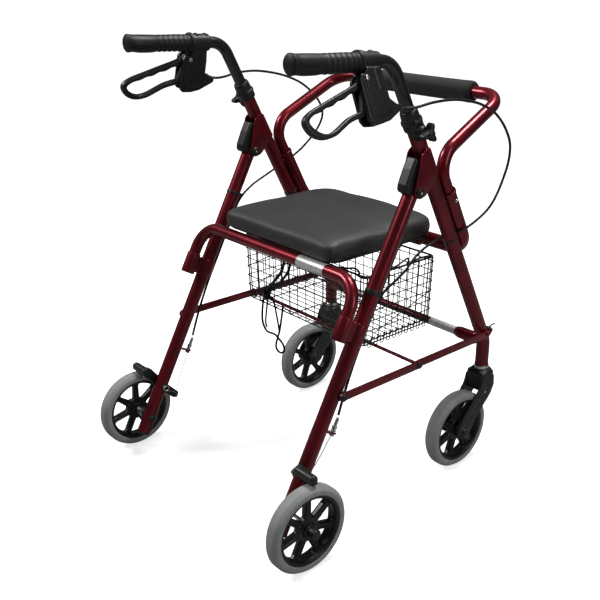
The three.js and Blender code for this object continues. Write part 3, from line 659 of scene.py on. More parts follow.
def knob():
    """The three-lobed height knob and its stud."""
    low, high = box("height_knob_right")
    back, front = high[0] - 13, high[0]
    outline = []
    for a in np.linspace(0, 2 * math.pi, 72, endpoint=False):
        r = 7.0 + 10.2 * (0.5 + 0.5 * math.cos(3 * (a - math.radians(75)))) ** 1.7
        outline.append((KNOB[1] + r * math.cos(a), KNOB[2] + r * math.sin(a)))
    neck = turned([(0, 6.2), (4.5, 6.2)], 0.2, at_x(back - 1.4, KNOB), X_AXIS)
    hub = turned([(0, 7.6), (6, 7.4), (8.5, 5.0)], 1.0, at_x(front - 6, KNOB), X_AXIS)
    head = merge(moulded(merge(side_plate(outline, back, front, 2.6), neck), 0.7, 3), hub)
    pair("height_knob.star", head, "black_plastic", "height_knob_{}", 50)
    stud = lathe([(0, 3.0), (back - low[0] + 2, 3.0)], at_x(low[0], KNOB), X_AXIS, 16)
    pair("knob_stud", stud, "bright_zinc", "height_knob_{}")


def fold_joint():
    """The pressed steel bracket on the front leg, the plastic cap on the rear leg, and the pivot pin."""
    axis = at_x(SIDE, PIVOT)
    cheek = rounded(around(axis, (3, 62), (14, 71), (24, 56), (36, 33), (37, 21), (27, 5), (14, -7),
                           (0, -11.5, 11), (-11, -4, 9), (-11, 8), (-5, 34)), 6)
    turn = np.linspace(0, 2 * math.pi, 16, endpoint=False)
    bore = around(axis, *((4.2 * math.cos(a), 4.2 * math.sin(a)) for a in turn))
    cheeks = [side_plate(cheek, SIDE + s - 1.2, SIDE + s + 1.2, 0.6, [bore]) for s in (-15.6, 15.6)]
    arc = [math.radians(d) for d in range(-94, 95, 8)]
    rings = []
    for centre in map(front_axis, (588, 594, 622, 628)):
        ring = [centre + FRONT_AHEAD * ahead * math.cos(a) + X_AXIS * out * math.sin(a)
                for ahead, out, turns in ((14.3, 16.6, arc), (12.6, 14.4, arc[::-1])) for a in turns]
        rings.append(np.array(ring))
    bracket = merge(*cheeks, ring_grid(rings))
    pair("fold_bracket.steel", bracket, "frame_paint", "front_frame", 45)

    sleeve = tube([rear_axis(583), rear_axis(602)], 14.0, 1.4)
    lobe = rounded([(45, 624), (56, 618), (60, 606), (50, 590), (43, 576), (39, 567), (30, 565.5, 8),
                    (22.5, 571, 9), (24, 582), (35, 606)], 4)
    boss = turned([(-14.1, 8.2), (14.1, 8.2)], 0.8, axis, X_AXIS)
    cap = moulded(merge(sleeve, side_plate(lobe, SIDE - 11.5, SIDE + 11.5, 4), boss), 0.8, 5)
    pair("hinge_cap.shell", cap, "black_plastic", "rear_frame", 60)

    shank = lathe([(-18.5, 4.0), (18.5, 4.0)], axis, X_AXIS, 20)
    tips = [dome(2.6, 1.4, axis + X_AXIS * s * 20.4, X_AXIS * s, 6) for s in (-1, 1)]
    pair("fold_pin.bolt", merge(shank, *tips), "bright_zinc", "front_frame")
    caps = [turned([(16.8, 8.4), (18.6, 8.4), (20.8, 5.6)], 1.2, axis, X_AXIS * s) for s in (-1, 1)]
    pair("fold_pin_caps", merge(*caps), "black_plastic", "front_frame")


def socket_point(z):
    """On the line beside the front leg where the seat bar's ends hold the backrest."""
    return beside_front(z - SOCKET_AHEAD * FRONT_AHEAD[2], SOCKET_AHEAD)


def across(corners):
    """The right half's corners followed by their mirror images."""
    return list(corners) + [c * vec(-1, 1, 1) for c in reversed(corners)]


def seat_bars():
    """The front bar with its backrest sockets, and the rear bar, whose y and z it returns."""
    top = socket_point(box("seat_front_bar")[1][2] - SOCKET_R * abs(FRONT_AHEAD[2]))
    bar = tube(bent(across([top, socket_point(FRONT_BAR[2])]), 40), SOCKET_R, 0.7, BAR_R + 0.2, 20)
    lips = [band(0, 5, 13.0, 14.2, 0.8, p, -FRONT_UP) for p in (top, top * vec(-1, 1, 1))]
    piece("seat_front_bar.tube", merge(bar, *lips), "frame_paint", "front_frame")

    # Two welded spacers tie each socket to its front leg.
    reach = SOCKET_AHEAD - SOCKET_R + 2
    gap = [tube([beside_front(z, LEG_R - 2), beside_front(z, reach)], 5.5, 0.3) for z in (530, 468)]
    pair("socket_weld", merge(*gap), "frame_paint", "front_frame")

    low, high = box("rear_seat_bar")
    bar_y, bar_z = high[1:] - BAR_R
    end_z = low[2] + BAR_R * abs(REAR_AHEAD[2])
    drop = REAR_UP * (bar_z - end_z) / REAR_UP[2]
    corner = vec(SIDE, bar_y, bar_z)
    bar = tube(bent(across([corner - drop, corner]), 45), BAR_R, 0.7, 9.2, 24)
    piece("rear_seat_bar.tube", bar, "frame_paint", "rear_frame")

    # Two short sleeves, one round the leg and one round the bar's end, joined by a plate.
    offset = (corner - rear_axis(bar_z)) @ REAR_AHEAD
    top, height = rear_axis(367.0), 33.0
    on_leg = band(0, height, 12.6, 14.6, 0.7, top, -REAR_UP)
    on_bar = band(-3, height + 4, 10.9, 12.8, 0.7, top + REAR_AHEAD * offset, -REAR_UP)
    middle = top + REAR_AHEAD * offset * 0.51 - REAR_UP * height / 2
    plate = block((15, abs(offset) - 18, height - 2), 1.2, middle, X_AXIS, REAR_AHEAD, REAR_UP)
    sleeves = merge(on_leg, on_bar, plate)
    pair("seat_bar_bracket.sleeve", sleeves, "frame_paint", "rear_frame", 45)

    # A blank silver band round the bar under the seat.
    piece("seat_bar_band", band(0, 68, 10.8, 11.3, 0.1, vec(70, bar_y, bar_z)), "silver_band", "rear_frame")
    return bar_y, bar_z


def backrest():
    """The bent tube, its foam sleeve and the spring buttons that lock it."""
    low, high = box("backrest_foam")
    foam_r, half = (high[2] - low[2]) / 2, high[0]
    centre = (low + high) / 2
    path = bent(across([socket_point(502), socket_point(609.5), at_x(SIDE - 9, centre)]), 42)
    piece("backrest_tube.bent", tube(path, BAR_R, 0.6, 9.3, 10), "frame_paint", "front_frame")

    rows, inner = 70, BAR_R + 0.3
    xs = np.linspace(-half, half, rows + 1)
    from_end = half - np.abs(xs)
    ease = 2.5 * np.maximum(0, 1 - from_end / 4.0) ** 2
    swell = 0.5 * np.exp(-((from_end - 10) / 7.0) ** 2)
    radii = foam_r - 0.7 - ease + swell
    xs = [-half + 9, -half, *xs, half, half - 9]
    radii = [inner, inner, *radii, inner, inner]

    def lumps(i, a):
        if i < 2 or i > rows + 1:
            return 1.0
        return 1 + 0.012 * noise.noise(Vector((xs[i] * 0.02, math.cos(a) * 1.3, math.sin(a) * 1.3)))

    foam = skin([at_x(x, centre) for x in xs], [X_AXIS] * len(xs), radii, 56, False, lumps)
    piece("backrest_foam.sleeve", foam, "backrest_foam", "front_frame")

    low, high = box("backrest_button_right")
    length = high[0] - low[0]
    button = turned([(0, 3.3), (length - 2, 3.3), (length, 1.8)], 1.0, at_x(low[0], (low + high) / 2), X_AXIS)
    pair("backrest_button.pin", button, "bright_zinc", "backrest_button_{}")


def cross_tube():
    low, high = box("front_cross_tube")
    end = high[0]
    centre = at_x(0, (low + high) / 2)
    middle = tube([at_x(-end, centre), at_x(end, centre)], 8.0, 0.3)
    flare = [(156, 8), (156, 9.6), (164, 11.6), (end - 2, 12.2), (end, 11.4), (end, 8)]
    flares = [turned(flare, 0.8, centre, X_AXIS * s, closed=True) for s in (-1, 1)]
    piece("front_cross_tube.tube", merge(middle, *flares), "frame_paint", "front_frame")
    pair("cross_tube_band", band(90, 156, 7.8, 8.3, 0.15, centre), "silver_band", "front_frame")


def rear_legs():
    leg = tube([REAR_FOOT, rear_axis(585)], LEG_R, 0.6, BORE_R, 5)
    plug = turned([(-4.5, 9.5), (-4.0, 12.4), (-0.2, 12.9), (1.0, 10.0)], 0.6, REAR_FOOT, REAR_UP)
    tab = curve_plate(rounded([(-6.5, 10), (6.5, 10), (6.5, 38, 6.5), (-6.5, 38, 6.5)], 1), 2.6, 0.6)
    tab = placed(tab, rear_axis(CABLE_TAB_Z), X_AXIS, REAR_AHEAD, REAR_UP)
    pair("rear_leg.tube", merge(leg, tab), "frame_paint", "rear_frame")
    pair("rear_leg_plug", plug, "black_plastic", "rear_frame")

    # Black clips that hold the cable to the leg, and black bands round the legs.
    clips = [band(0, 9, 12.6, 13.7, 0.5, rear_axis(411), REAR_UP)]
    for z, height, ahead in ((411, 9, 18.5), (488, 6, 15.5)):
        middle = beside_rear(z, ahead) + REAR_UP * height / 2
        clips.append(block((9, 11, height), 1.6, middle, X_AXIS, REAR_AHEAD, REAR_UP))
    pair("cable_clips", merge(*clips), "black_plastic", "rear_frame")
    upper = band(0, 6, 12.6, 13.5, 0.4, rear_axis(487) * vec(-1, 1, 1), REAR_UP)
    piece("cable_band_left", upper, "black_plastic", "rear_frame")
    lower = band(0, 5, 12.6, 13.8, 0.5, front_axis(470), -FRONT_UP)
    pair("front_leg_band", lower, "black_plastic", "front_frame")


def links():
    """The flat bars that fold between the frames, the rod across them, and their bolts and clips."""
    thick, r = 3.5, 7.25
    front_x = SIDE + LEG_R + 0.7
    rear_x = front_x + thick + 0.5
    outer_x = rear_x + thick
    mid, front_end = at_x(SIDE, LINK_MID), vec(SIDE, LINK_FRONT[1], LINK_MID[2])
    rear_end = vec(SIDE, box("rear_link_right")[0][1] + r, LINK_MID[2])

    def flat_bar(a, b, x):
        angle = math.atan2(b[2] - a[2], b[1] - a[1])
        outline = []
        for centre, start in ((b, angle - math.pi / 2), (a, angle + math.pi / 2)):
            turn = [start + math.pi * k / 12 for k in range(13)]
            outline += around(centre, *((r * math.cos(t), r * math.sin(t)) for t in turn))
        return side_plate(outline, x, x + thick, 0.7)

    def pin(at, x, length, radius):
        return lathe([(0, radius), (length, radius)], at_x(x, at), X_AXIS, 16)

    head = dome(6.0, 3.0, at_x(front_x + thick, LINK_FRONT), X_AXIS)
    front = merge(flat_bar(mid, front_end, front_x), head, pin(LINK_FRONT, SIDE + 11.6, 5, 3.4))
    pair("front_link.bar", front, "frame_paint", "front_links")
    pair("rear_link.bar", flat_bar(rear_end, mid, rear_x), "frame_paint", "rear_links")
    bolt = merge(pin(rear_end, front_x, 2 * thick, 5.5),
                 turned([(0, 7.4), (1.2, 7.4)], 0.3, at_x(outer_x, rear_end), X_AXIS),
                 dome(5.8, 3.2, at_x(outer_x + 1.2, rear_end), X_AXIS))
    pair("rear_link_bolt", bolt, "black_plastic", "rear_links")

    rod_end = box("link_rod")[1][0]
    rod = tube([at_x(-rod_end, mid), at_x(rod_end, mid)], 3.2, 0.5, sides=20)
    piece("link_rod.rod", rod, "frame_paint", "front_links")
    cap = merge(dome(5.6, 3.4, at_x(outer_x + 0.2, mid), X_AXIS),
                turned([(0, 7.0), (1.0, 7.0)], 0.3, at_x(outer_x + 0.1, mid), X_AXIS))
    pair("link_rod_cap", cap, "black_plastic", "front_links")

    # A black block under each rear link's pin, and a clip with a curled wire where each front link is pinned.
    saddle = block((6.5, 15, 17), 2.0, rear_end + vec(13.2, 3, -2), X_AXIS, REAR_AHEAD, REAR_UP)
    pair("rear_link_saddle", saddle, "black_plastic", "rear_frame")
    at = at_x(SIDE, LINK_FRONT)
    curl = wire(spline([at + vec(5, 15, 4), at + vec(8, 21, 10), at + vec(14, 22, 13)], 5), 1.5, 10)
    clip = merge(block((13, 9, 15), 2.0, at + vec(5, 14, -1)), dome(4.4, 3.0, at + vec(11, 15, 1), X_AXIS),
                 curl)
    pair("front_link_clip", clip, "black_plastic", "front_frame")


def rim(hub, half, name, body, start):
    """A moulded wheel centre: outer ring, recessed web with ribbed spokes, hub. start is a spoke's angle."""
    ring = turned([(-12.5, 61.4), (12.5, 61.4), (12.5, 57.5), (8.5, 54.5), (-8.5, 54.5), (-12.5, 57.5)], 1.0,
                  hub, X_AXIS, 96, True)
    barrel = turned([(-half, 4.5), (-half, 11.0), (-half + 2, 13), (half - 2, 13), (half, 11.0), (half, 4.5)],
                    0.8, hub, X_AXIS, 48, True)
    boss = band(-6, 6, 12, 22, 1.5, hub, X_AXIS, 64)
    inner, outer, spokes = 7.5, 5.2, 7
    web = [(10, -inner), (46, -outer), (56, -outer - 5), (56, outer + 5), (46, outer), (10, inner)]
    spoke = [curve_plate(web, 8, 0.8)]
    for a, b in ((-inner * 0.5, -outer * 0.6), (inner * 0.5, outer * 0.6)):
        spoke.append(curve_plate([(10, a - 1.3), (56, b - 1.3), (56, b + 1.3), (10, a + 1.3)], 13, 0.6))
    spoke = merge(*spoke)
    arms = []
    for k in range(spokes):
        a = 2 * math.pi * k / spokes + math.radians(start)
        c, s = math.cos(a), math.sin(a)
        arms.append(placed(spoke, hub, vec(0, c, s), vec(0, -s, c), X_AXIS))
    shape = moulded(merge(ring, boss, barrel, *arms), 1.0, 2)
    pair(name, shape, "wheel_plastic", body, 60)


def tyre(hub, name, body):
    half = 14.0
    side = [(-half + 1, 61.6), (-half, 64, 2), (-half, 70.5, 5), (-half + 6.5, 75.6, 4), (-6, 76, 1)]
    profile = side + [(-p[0], *p[1:]) for p in reversed(side)]
    pair(name, lathe(rounded(profile, 0.6, 4), hub, X_AXIS, 128, True), "grey_tyre", body, 50)


def wheels():
    rim(REAR_HUB, 12.0, "rear_rim.centre", "rear_wheel_{}", 88)
    rim(FRONT_HUB, 15.6, "front_rim.centre", "front_wheel_{}", 96)
    tyre(REAR_HUB, "rear_tyre.ring", "rear_wheel_{}")
    tyre(FRONT_HUB, "front_tyre.ring", "front_wheel_{}")

    low, high = box("rear_axle_right")
    leg_at = at_x(SIDE, REAR_HUB)
    start, end = low[0] - SIDE, high[0] - SIDE + 11
    shaft = lathe([(start + 4, 4.0), (end - 14, 4.0)], leg_at, X_AXIS, 20)
    spacer = turned([(13.2, 8.5), (34.3, 8.5)], 0.6, leg_at, X_AXIS)
    pair("rear_axle.bolt", merge(shaft, spacer), "bright_zinc", "rear_frame")
    inner_nut = merge(hex_nut(12.0, 4.0, leg_at - X_AXIS * 12.4, -X_AXIS),
                      turned([(0, 7.4), (1.2, 7.4)], 0.3, leg_at - X_AXIS * 11.8, -X_AXIS))
    cap = turned([(end - 15, 9.6), (end - 9, 9.4), (end - 1.6, 8.8), (end, 6.6)], 1.2, leg_at, X_AXIS)
    pair("rear_axle_cap", merge(cap, inner_nut), "black_plastic", "rear_frame")


def forks():
    """The caster forks: two ribbed blades under a round crown, with the stem and the wheel's axle."""
    top = vec(SIDE, FORK[1], 184.0)
    blade = rounded(around(top, (-19, -10), (15, -10), (17, -34, 9), (8, -52, 9), (-9, -68, 9))
                    + around(FRONT_HUB, (33, 14, 9), (18, -8, 9), (0, -16.5, 11), (-15, -9, 10), (-17, 5, 9),
                             (-9, 21, 9), (6, 38, 9))
                    + around(top, (-38, -46, 9), (-26, -32, 9)), 6)
    ridge = rounded(around(top, (-8, -30), (8, -32), (1, -50, 8))
                    + around(FRONT_HUB, (12, 2, 8), (0, -8, 8), (-9, 4, 8)) + around(top, (-28, -52, 8)), 5)
    blades = []
    for s in (-1, 1):
        blades.append(side_plate(blade, *sorted((SIDE + s * 16.3, SIDE + s * 21.6)), 2.2))
        blades.append(side_plate(ridge, *sorted((SIDE + s * 17.0, SIDE + s * 23.4)), 1.6))
        blades.append(turned([(16.4, 13.5), (23.4, 12.4), (25.0, 10.5)], 1.4, FRONT_HUB, X_AXIS * s))
    crown = rounded(rect(SIDE - 21.6, top[1] - 21, SIDE + 21.6, top[1] + 17), 12, 6)
    bell = turned([(0, 6.2), (0, 15.5), (-1.4, 19.0), (-4.5, 21.2), (-14, 21.6)], 1.6, top, Z_AXIS, 48)
    shape = moulded(merge(*blades, bell, level_plate(crown, top[2] - 40, top[2] - 3, 3)), 0.85, 5)
    wheel_room = turned([(-16.1, 82.0), (16.1, 82.0)], 0.5, FRONT_HUB, X_AXIS, 64)
    pair("front_fork.moulding", carved(shape, wheel_room), "black_plastic", "front_fork_{}", 60)

    washer = band(0, 0.9, 6.0, 13.0, 0.2, top - Z_AXIS * 0.4, Z_AXIS)
    stem = lathe([(-20, 6.0), (box("front_fork_right")[1][2] - top[2], 6.0)], top, Z_AXIS, 24)
    rivets = [dome(2.8, 1.6, top + vec(s * 22.6, -12, -41), X_AXIS * s) for s in (-1, 1)]
    pair("fork_stem", merge(stem, washer, *rivets), "bright_zinc", "front_fork_{}")
    shaft = lathe([(-24, 4.0), (24, 4.0)], FRONT_HUB, X_AXIS, 20)
    pair("front_axle.bolt", shaft, "bright_zinc", "front_fork_{}")
    heads = [turned([(24.6, 8.6), (27.0, 8.0), (28.4, 5.6)], 1.0, FRONT_HUB, X_AXIS * s, 32) for s in (-1, 1)]
    pair("front_axle_caps", merge(*heads), "black_plastic", "front_fork_{}")


def brake_arms():
    """The arm that turns on the rear leg: its shoe and pad over the tyre, and its horn behind the leg."""
    spindle_at = at_x(SIDE, SPINDLE)
    shoe_at = spindle_at + vec(0, -21.5, 29.2)
    reach = box("brake_arm_right")[1][0] - SIDE
    cheek = rounded(around(spindle_at, (10, -5, 6), (8, 9, 6))
                    + around(shoe_at, (11, 4, 5), (4, 9, 5), (-7, 6, 5), (-8, -5, 4))
                    + around(spindle_at, (-12, 6, 6), (-3, -9, 5)), 3)
    shoe = turned([(14, 7.6), (18, 8.0), (reach - 10, 7.8), (reach - 6, 5.4)], 2.2, shoe_at, X_AXIS)
    pad = block((30, 11, 8), 1.8, shoe_at + vec(45, -0.5, -3.6))
    arm = merge(side_plate(cheek, SIDE + 13.4, SIDE + 22.0, 2.2), shoe, pad)
    spindle = turned([(-17.5, 6.0), (-13.4, 6.4), (-13.4, 4.1), (13.4, 4.1), (13.4, 7.5), (24, 7.5)], 0.4,
                     spindle_at, X_AXIS)
    horn = around(spindle_at, (-7, 5, 5), (6, 6, 5), (29, -19, 5), (25, -29, 4), (16, -27, 6), (-6, -6, 6))
    horn = side_plate(rounded(horn, 4), SIDE - 17.5, SIDE - 13.4, 1.2)
    shape = merge(moulded(arm, 0.8, 3), moulded(merge(spindle, horn), 0.6, 2))
    pair("brake_arm.moulding", shape, "black_plastic", "brake_arm_{}", 60)

    # The return spring: two and a half coils round the spindle, and a leg that hooks on the horn.
    turns = 2.5
    coil = [(-18.0 - 1.3 * turns * t, 5.2 * math.cos(a), 5.2 * math.sin(a))
            for t in np.linspace(0, 1, 48) for a in (2 * math.pi * turns * t + 2.0,)]
    tail = [(-21.4, 8, -8), (-20.6, 15, -12), (-18.0, 22, -18)]
    pair("brake_spring", wire(spindle_at + np.array(coil + tail), 0.6), "bright_zinc", "brake_arm_{}")
    screw = lathe([(0, 2.2), (6.0, 2.2)], spindle_at + vec(-19, 24, -22), X_AXIS, 12)
    pair("cable_anchor", screw, "bright_zinc", "brake_arm_{}")


def rear_cables():
    """The cable down each rear leg to its adjuster, and the bare strand to the brake arm."""
    places = ((494, 18.6), (440, 18.4), (380, 18.6), (330, 18.8), (285, 22.0), (250, 27.0), (232, 30.4))
    sheath = tube(spline([beside_rear(z, ahead) for z, ahead in places], 8), 2.3, 0.3, sides=14)
    pair("brake_cable.sheath", sheath, "cable_sheath", "rear_frame")
    ahead = 32.0
    base = beside_rear(CABLE_TAB_Z, ahead)
    barrel = turned([(1.6, 4.4), (4.6, 4.4), (4.6, 3.4), (8.0, 3.4), (8.0, 4.6), (12, 4.6), (12, 3.0),
                     (24, 3.0), (27, 2.4)], 0.3, base, REAR_UP, 20)
    nuts = merge(hex_nut(9.6, 4.2, base - REAR_UP * 1.6, -REAR_UP),
                 hex_nut(9.6, 4.0, base + REAR_UP * 2.0, REAR_UP))
    strand = wire([base, beside_rear(165, ahead - 0.2, -6), beside_rear(122, ahead - 3, -15)], 0.7)
    pair("cable_adjuster", merge(barrel, nuts, strand), "bright_zinc", "rear_frame")


GRIP_SLOPE = math.radians(3)
BRAKE_TILT = math.radians(21)
GRIP_AHEAD = vec(0, math.cos(GRIP_SLOPE), -math.sin(GRIP_SLOPE))
GRIP_RISE = vec(0, math.sin(GRIP_SLOPE), math.cos(GRIP_SLOPE))
BRAKE_OUT = X_AXIS * math.cos(BRAKE_TILT) + GRIP_RISE * math.sin(BRAKE_TILT)
BRAKE_RISE = GRIP_RISE * math.cos(BRAKE_TILT) - X_AXIS * math.sin(BRAKE_TILT)
# The grip, brake and lever are drawn round a level grip at this height, then tipped and hung in place.
DRAWN_GRIP = vec(SIDE, -201, 783)
DRAWN_LEVER = vec(SIDE, -76, 757)
GRIP_END = LEVER - GRIP_AHEAD * (DRAWN_LEVER - DRAWN_GRIP)[1] - BRAKE_RISE * (DRAWN_LEVER - DRAWN_GRIP)[2]


def tipped(shape):
    return placed(moved(shape, -DRAWN_GRIP), GRIP_END, X_AXIS, GRIP_AHEAD, GRIP_RISE)


def hung(shape):
    return placed(moved(shape, -DRAWN_GRIP), GRIP_END, BRAKE_OUT, GRIP_AHEAD, BRAKE_RISE)


def upper_cables():
    """The free loop of cable from the brake housing, round the front of the frame, to the rear leg."""
    start, ahead = hung((vec((SIDE, -12, 713.5), (SIDE, 2, 712.5)), []))[0]
    heading = unit(ahead - start)
    upper = [start, ahead + X_AXIS, (247, 20, 707), (251, 50, 711), (253, 92, 711), (252, 132, 705),
             (249, 172, 694), (246, 212, 675), (243, 246, 645), (243, 262, 612)]
    outside = [(250, 252, 578), (258, 215, 541), (262, 170, 517), (262, 126, 500), (258, 78, 482),
               (247, 38, 459)]
    inside = [(243, 254, 570), (240, 222, 515), (232, 168, 484), (212, 150, 474), (197, 118, 458),
              (200, 82, 446), (214, 40, 432)]
    meets_leg = [beside_rear(424, 20.5, 6), beside_rear(412, 18.6, 3)]
    per = 8
    turn = (len(upper) - 1) * per
    for side, below, flip in (("right", inside, vec(1, 1, 1)), ("left", outside, vec(-1, 1, 1))):
        route = spline(upper + below + meets_leg, per) * flip
        for part, points, bodies in (("upper", route[:turn + 1], ("handle_" + side, "front_frame")),
                                     ("lower", route[turn:], ("front_frame", "rear_frame"))):
            piece("cable_loop_" + part + "_" + side, tube(points, 2.3, 0.2, sides=14), "cable_sheath",
                  (*bodies, tuple(points[0] * MM), tuple(points[-1] * MM)))
    ferrule = turned([(0, 3.2), (6, 3.0), (9, 2.6)], 0.4, start - heading * 2, heading, 16)
    pair("cable_ferrule", ferrule, "bright_zinc", "handle_{}")


def handles():
    """The bent handle tube, and the grip on it."""
    grip_end = GRIP_END + GRIP_AHEAD * 13
    leg = front_axis(700) - grip_end
    reach = leg @ FRONT_AHEAD / (GRIP_AHEAD @ FRONT_AHEAD)  # to where the grip's axis meets the leg's
    path = bent([front_axis(546), grip_end + GRIP_AHEAD * reach, grip_end], 42, 4)
    pair("handle_tube.bent", tube(path, HANDLE_R, 0.5), "handle_paint", "handle_{}")

    # The grip: a closed end disc, a palm swell, finger ribs below its front half and a flange.
    start, end = DRAWN_GRIP[1], DRAWN_LEVER[1] + 1.5
    ys = np.linspace(start, end, 85)
    s, e = ys - start, end - ys
    radii = 14.0 + 1.4 * np.exp(-(s / 7.0) ** 2) - 1.6 * np.maximum(0, 1 - s / 1.4) ** 2
    radii += 3.4 / (1 + np.exp((e - 5.0) / 0.5))

    def sculpt(i, a):
        s = ys[i] - start
        down = 0.5 - 0.5 * math.cos(a - math.pi)  # 1 under the grip
        palm = 0.20 * math.exp(-((s - 34) / 21.0) ** 4) * (0.5 + 0.5 * math.cos(a - 0.9)) ** 1.5
        ribbed = min(1.0, max(0.0, (s - 56) / 6)) * min(1.0, max(0.0, (end - 10 - ys[i]) / 5))
        rib = 0.10 * ribbed * (0.5 + 0.5 * math.cos(2 * math.pi * s / 10.4)) * (0.35 + 0.65 * down)
        thumb = 0.05 * math.exp(-((s - 60) / 30.0) ** 2) * (0.5 - 0.5 * math.cos(a - 0.5)) ** 3
        return 1 + palm + rib - thumb

    grip = skin([vec(SIDE, y, DRAWN_GRIP[2]) for y in ys], [Y_AXIS] * len(ys), radii, 48, False, sculpt)
    pair("hand_grip.rubber", tipped(grip), "grip_rubber", "handle_{}", 60)


def brake_housings():
    """The moulded body below each grip, clamped round the handle and slotted for the lever."""
    grip_z = DRAWN_GRIP[2]
    clamp_at = vec(SIDE, DRAWN_LEVER[1] + 2, grip_z)

    def slab(points, ease, half, bevel):
        return side_plate(rounded(points, ease), SIDE - half, SIDE + half, bevel)

    body = slab([(-73, 778), (-43, 779), (-42, 768), (-39, 753), (-36.5, 727), (-25, 719, 5), (-14, 716.5, 2),
                 (-15.5, 709.5, 2), (-27, 703.5), (-43, 695), (-60, 691.5), (-79, 692, 7), (-85.5, 700),
                 (-86, 715), (-88, 740), (-89, 755), (-84, 764), (-74, 765)], 4, 12.8, 2.6)
    face = slab([(-73, 772), (-46, 772), (-45, 766), (-42.5, 751), (-40, 728), (-33, 718), (-36, 711),
                 (-56, 703.5), (-71, 705), (-75, 717), (-78, 741), (-80, 760)], 3, 14.6, 1.0)
    facet = slab([(-60, 771), (-49.5, 771), (-47, 742), (-55.5, 738)], 2, 15.5, 0.9)
    length = -38.0 - clamp_at[1]
    clamp = turned([(0, 11.5), (0, 15.2), (length, 15.2), (length, 11.5)], 1.4, clamp_at, Y_AXIS)
    bolts = (-66, -47)
    bumps = [turned([(0, 4.6), (4.2, 4.4)], 1.0, vec(SIDE, y, grip_z + 12), Z_AXIS, 24) for y in bolts]
    nose = turned([(0, 6.0), (8, 4.6), (13, 3.2)], 0.8, vec(SIDE, -24, 713.4), unit(vec(0, 1, -0.03)), 24)
    shell = moulded(merge(body, face, facet, clamp, *bumps, nose), 0.8, 3)
    slot = side_plate([(-154, 660), (-82, 660), (-56, 765), (-125, 765)], SIDE - 6.6, SIDE + 6.6, 0.1)
    pair("brake_housing.shell", hung(carved(shell, slot)), "black_plastic", "handle_{}", 50)
    rivet = merge(*(dome(4.0, 1.8, DRAWN_LEVER + X_AXIS * s * 14.6, X_AXIS * s) for s in (-1, 1)),
                  lathe([(-14, 2.4), (14, 2.4)], DRAWN_LEVER, X_AXIS, 16))
    pair("lever_rivet", hung(rivet), "bright_zinc", "handle_{}")
    screws = [lathe([(0, 2.6), (1.2, 2.4)], vec(SIDE, y, grip_z + 16.0), Z_AXIS, 6) for y in bolts]
    pair("clamp_screws", hung(merge(*screws)), "black_plastic", "handle_{}")


def brake_levers():
    """The loop lever: an outline, and a window with a bump between fingers along its upper arm."""
    outer = spline([(-65, 757), (-71, 763), (-80, 762), (-87, 756), (-98.4, 749.5), (-126.7, 739.5),
                    (-157, 728.6), (-183, 719), (-196.2, 709.9), (-198.2, 699.2), (-189.5, 686.6),
                    (-174.8, 679.8), (-160.5, 679.0), (-145.2, 682.4), (-129.7, 690.2), (-114, 698),
                    (-97.4, 702.6), (-84, 706), (-77, 716), (-69.5, 738)], 5, True)
    bumps = 4
    window = []
    for t in np.linspace(0, 1, 41):
        dip = 2.1 * max(0.0, math.sin(math.pi * t)) ** 0.5 * (0.5 - 0.5 * math.cos(2 * math.pi * bumps * t))
        window.append((-81 - 97 * t, 746.0 - 33.0 * t - dip))
    lower = spline([(-178.5, 712.7), (-187.0, 707.7), (-188.9, 701.9), (-181.2, 693.4), (-170.0, 687.6),
                    (-159.6, 686.5), (-147.2, 689.8), (-132.8, 697.1), (-117.0, 705.4), (-101.1, 710.4),
                    (-88.6, 713.3)], 4)
    window.extend(lower[1:])
    shape = side_plate(outer, SIDE - 5.4, SIDE + 5.4, 2.6, [window])
    pair("brake_lever.loop", hung(shape), "black_plastic", "brake_lever_{}", 50)


PAD_VOXEL = 5 * MM
PAD_CLOTH = dict(quality=6, mass=0.3, tension_stiffness=12, compression_stiffness=12, bending_stiffness=2.0,
                 use_pressure=True, uniform_pressure_force=4.0)


def cloth_pad(shape, cap):
    """Inflates a closed shape as cloth, then keeps each point within cap of where it started."""
    holder = show("pad", to_mesh(shape, "pad"))
    remesh = holder.modifiers.new("remesh", "REMESH")
    remesh.mode = "VOXEL"
    remesh.voxel_size = PAD_VOXEL
    holder.data = baked(holder)
    holder.modifiers.clear()
    rest, _ = from_mesh(holder.data)
    settings = holder.modifiers.new("cloth", "CLOTH").settings
    for key, value in PAD_CLOTH.items():
        setattr(settings, key, value)
    settings.effector_weights.gravity = 0.0
    scene = bpy.context.scene
    for f in range(1, 21):
        scene.frame_set(f)
    now, faces = from_mesh(baked(holder))
    bpy.data.objects.remove(holder)
    scene.frame_set(1)
    shift = now - rest
    size = np.linalg.norm(shift, axis=1, keepdims=True)
    return rest + shift * np.minimum(1.0, cap / np.maximum(size, 1e-6)), faces


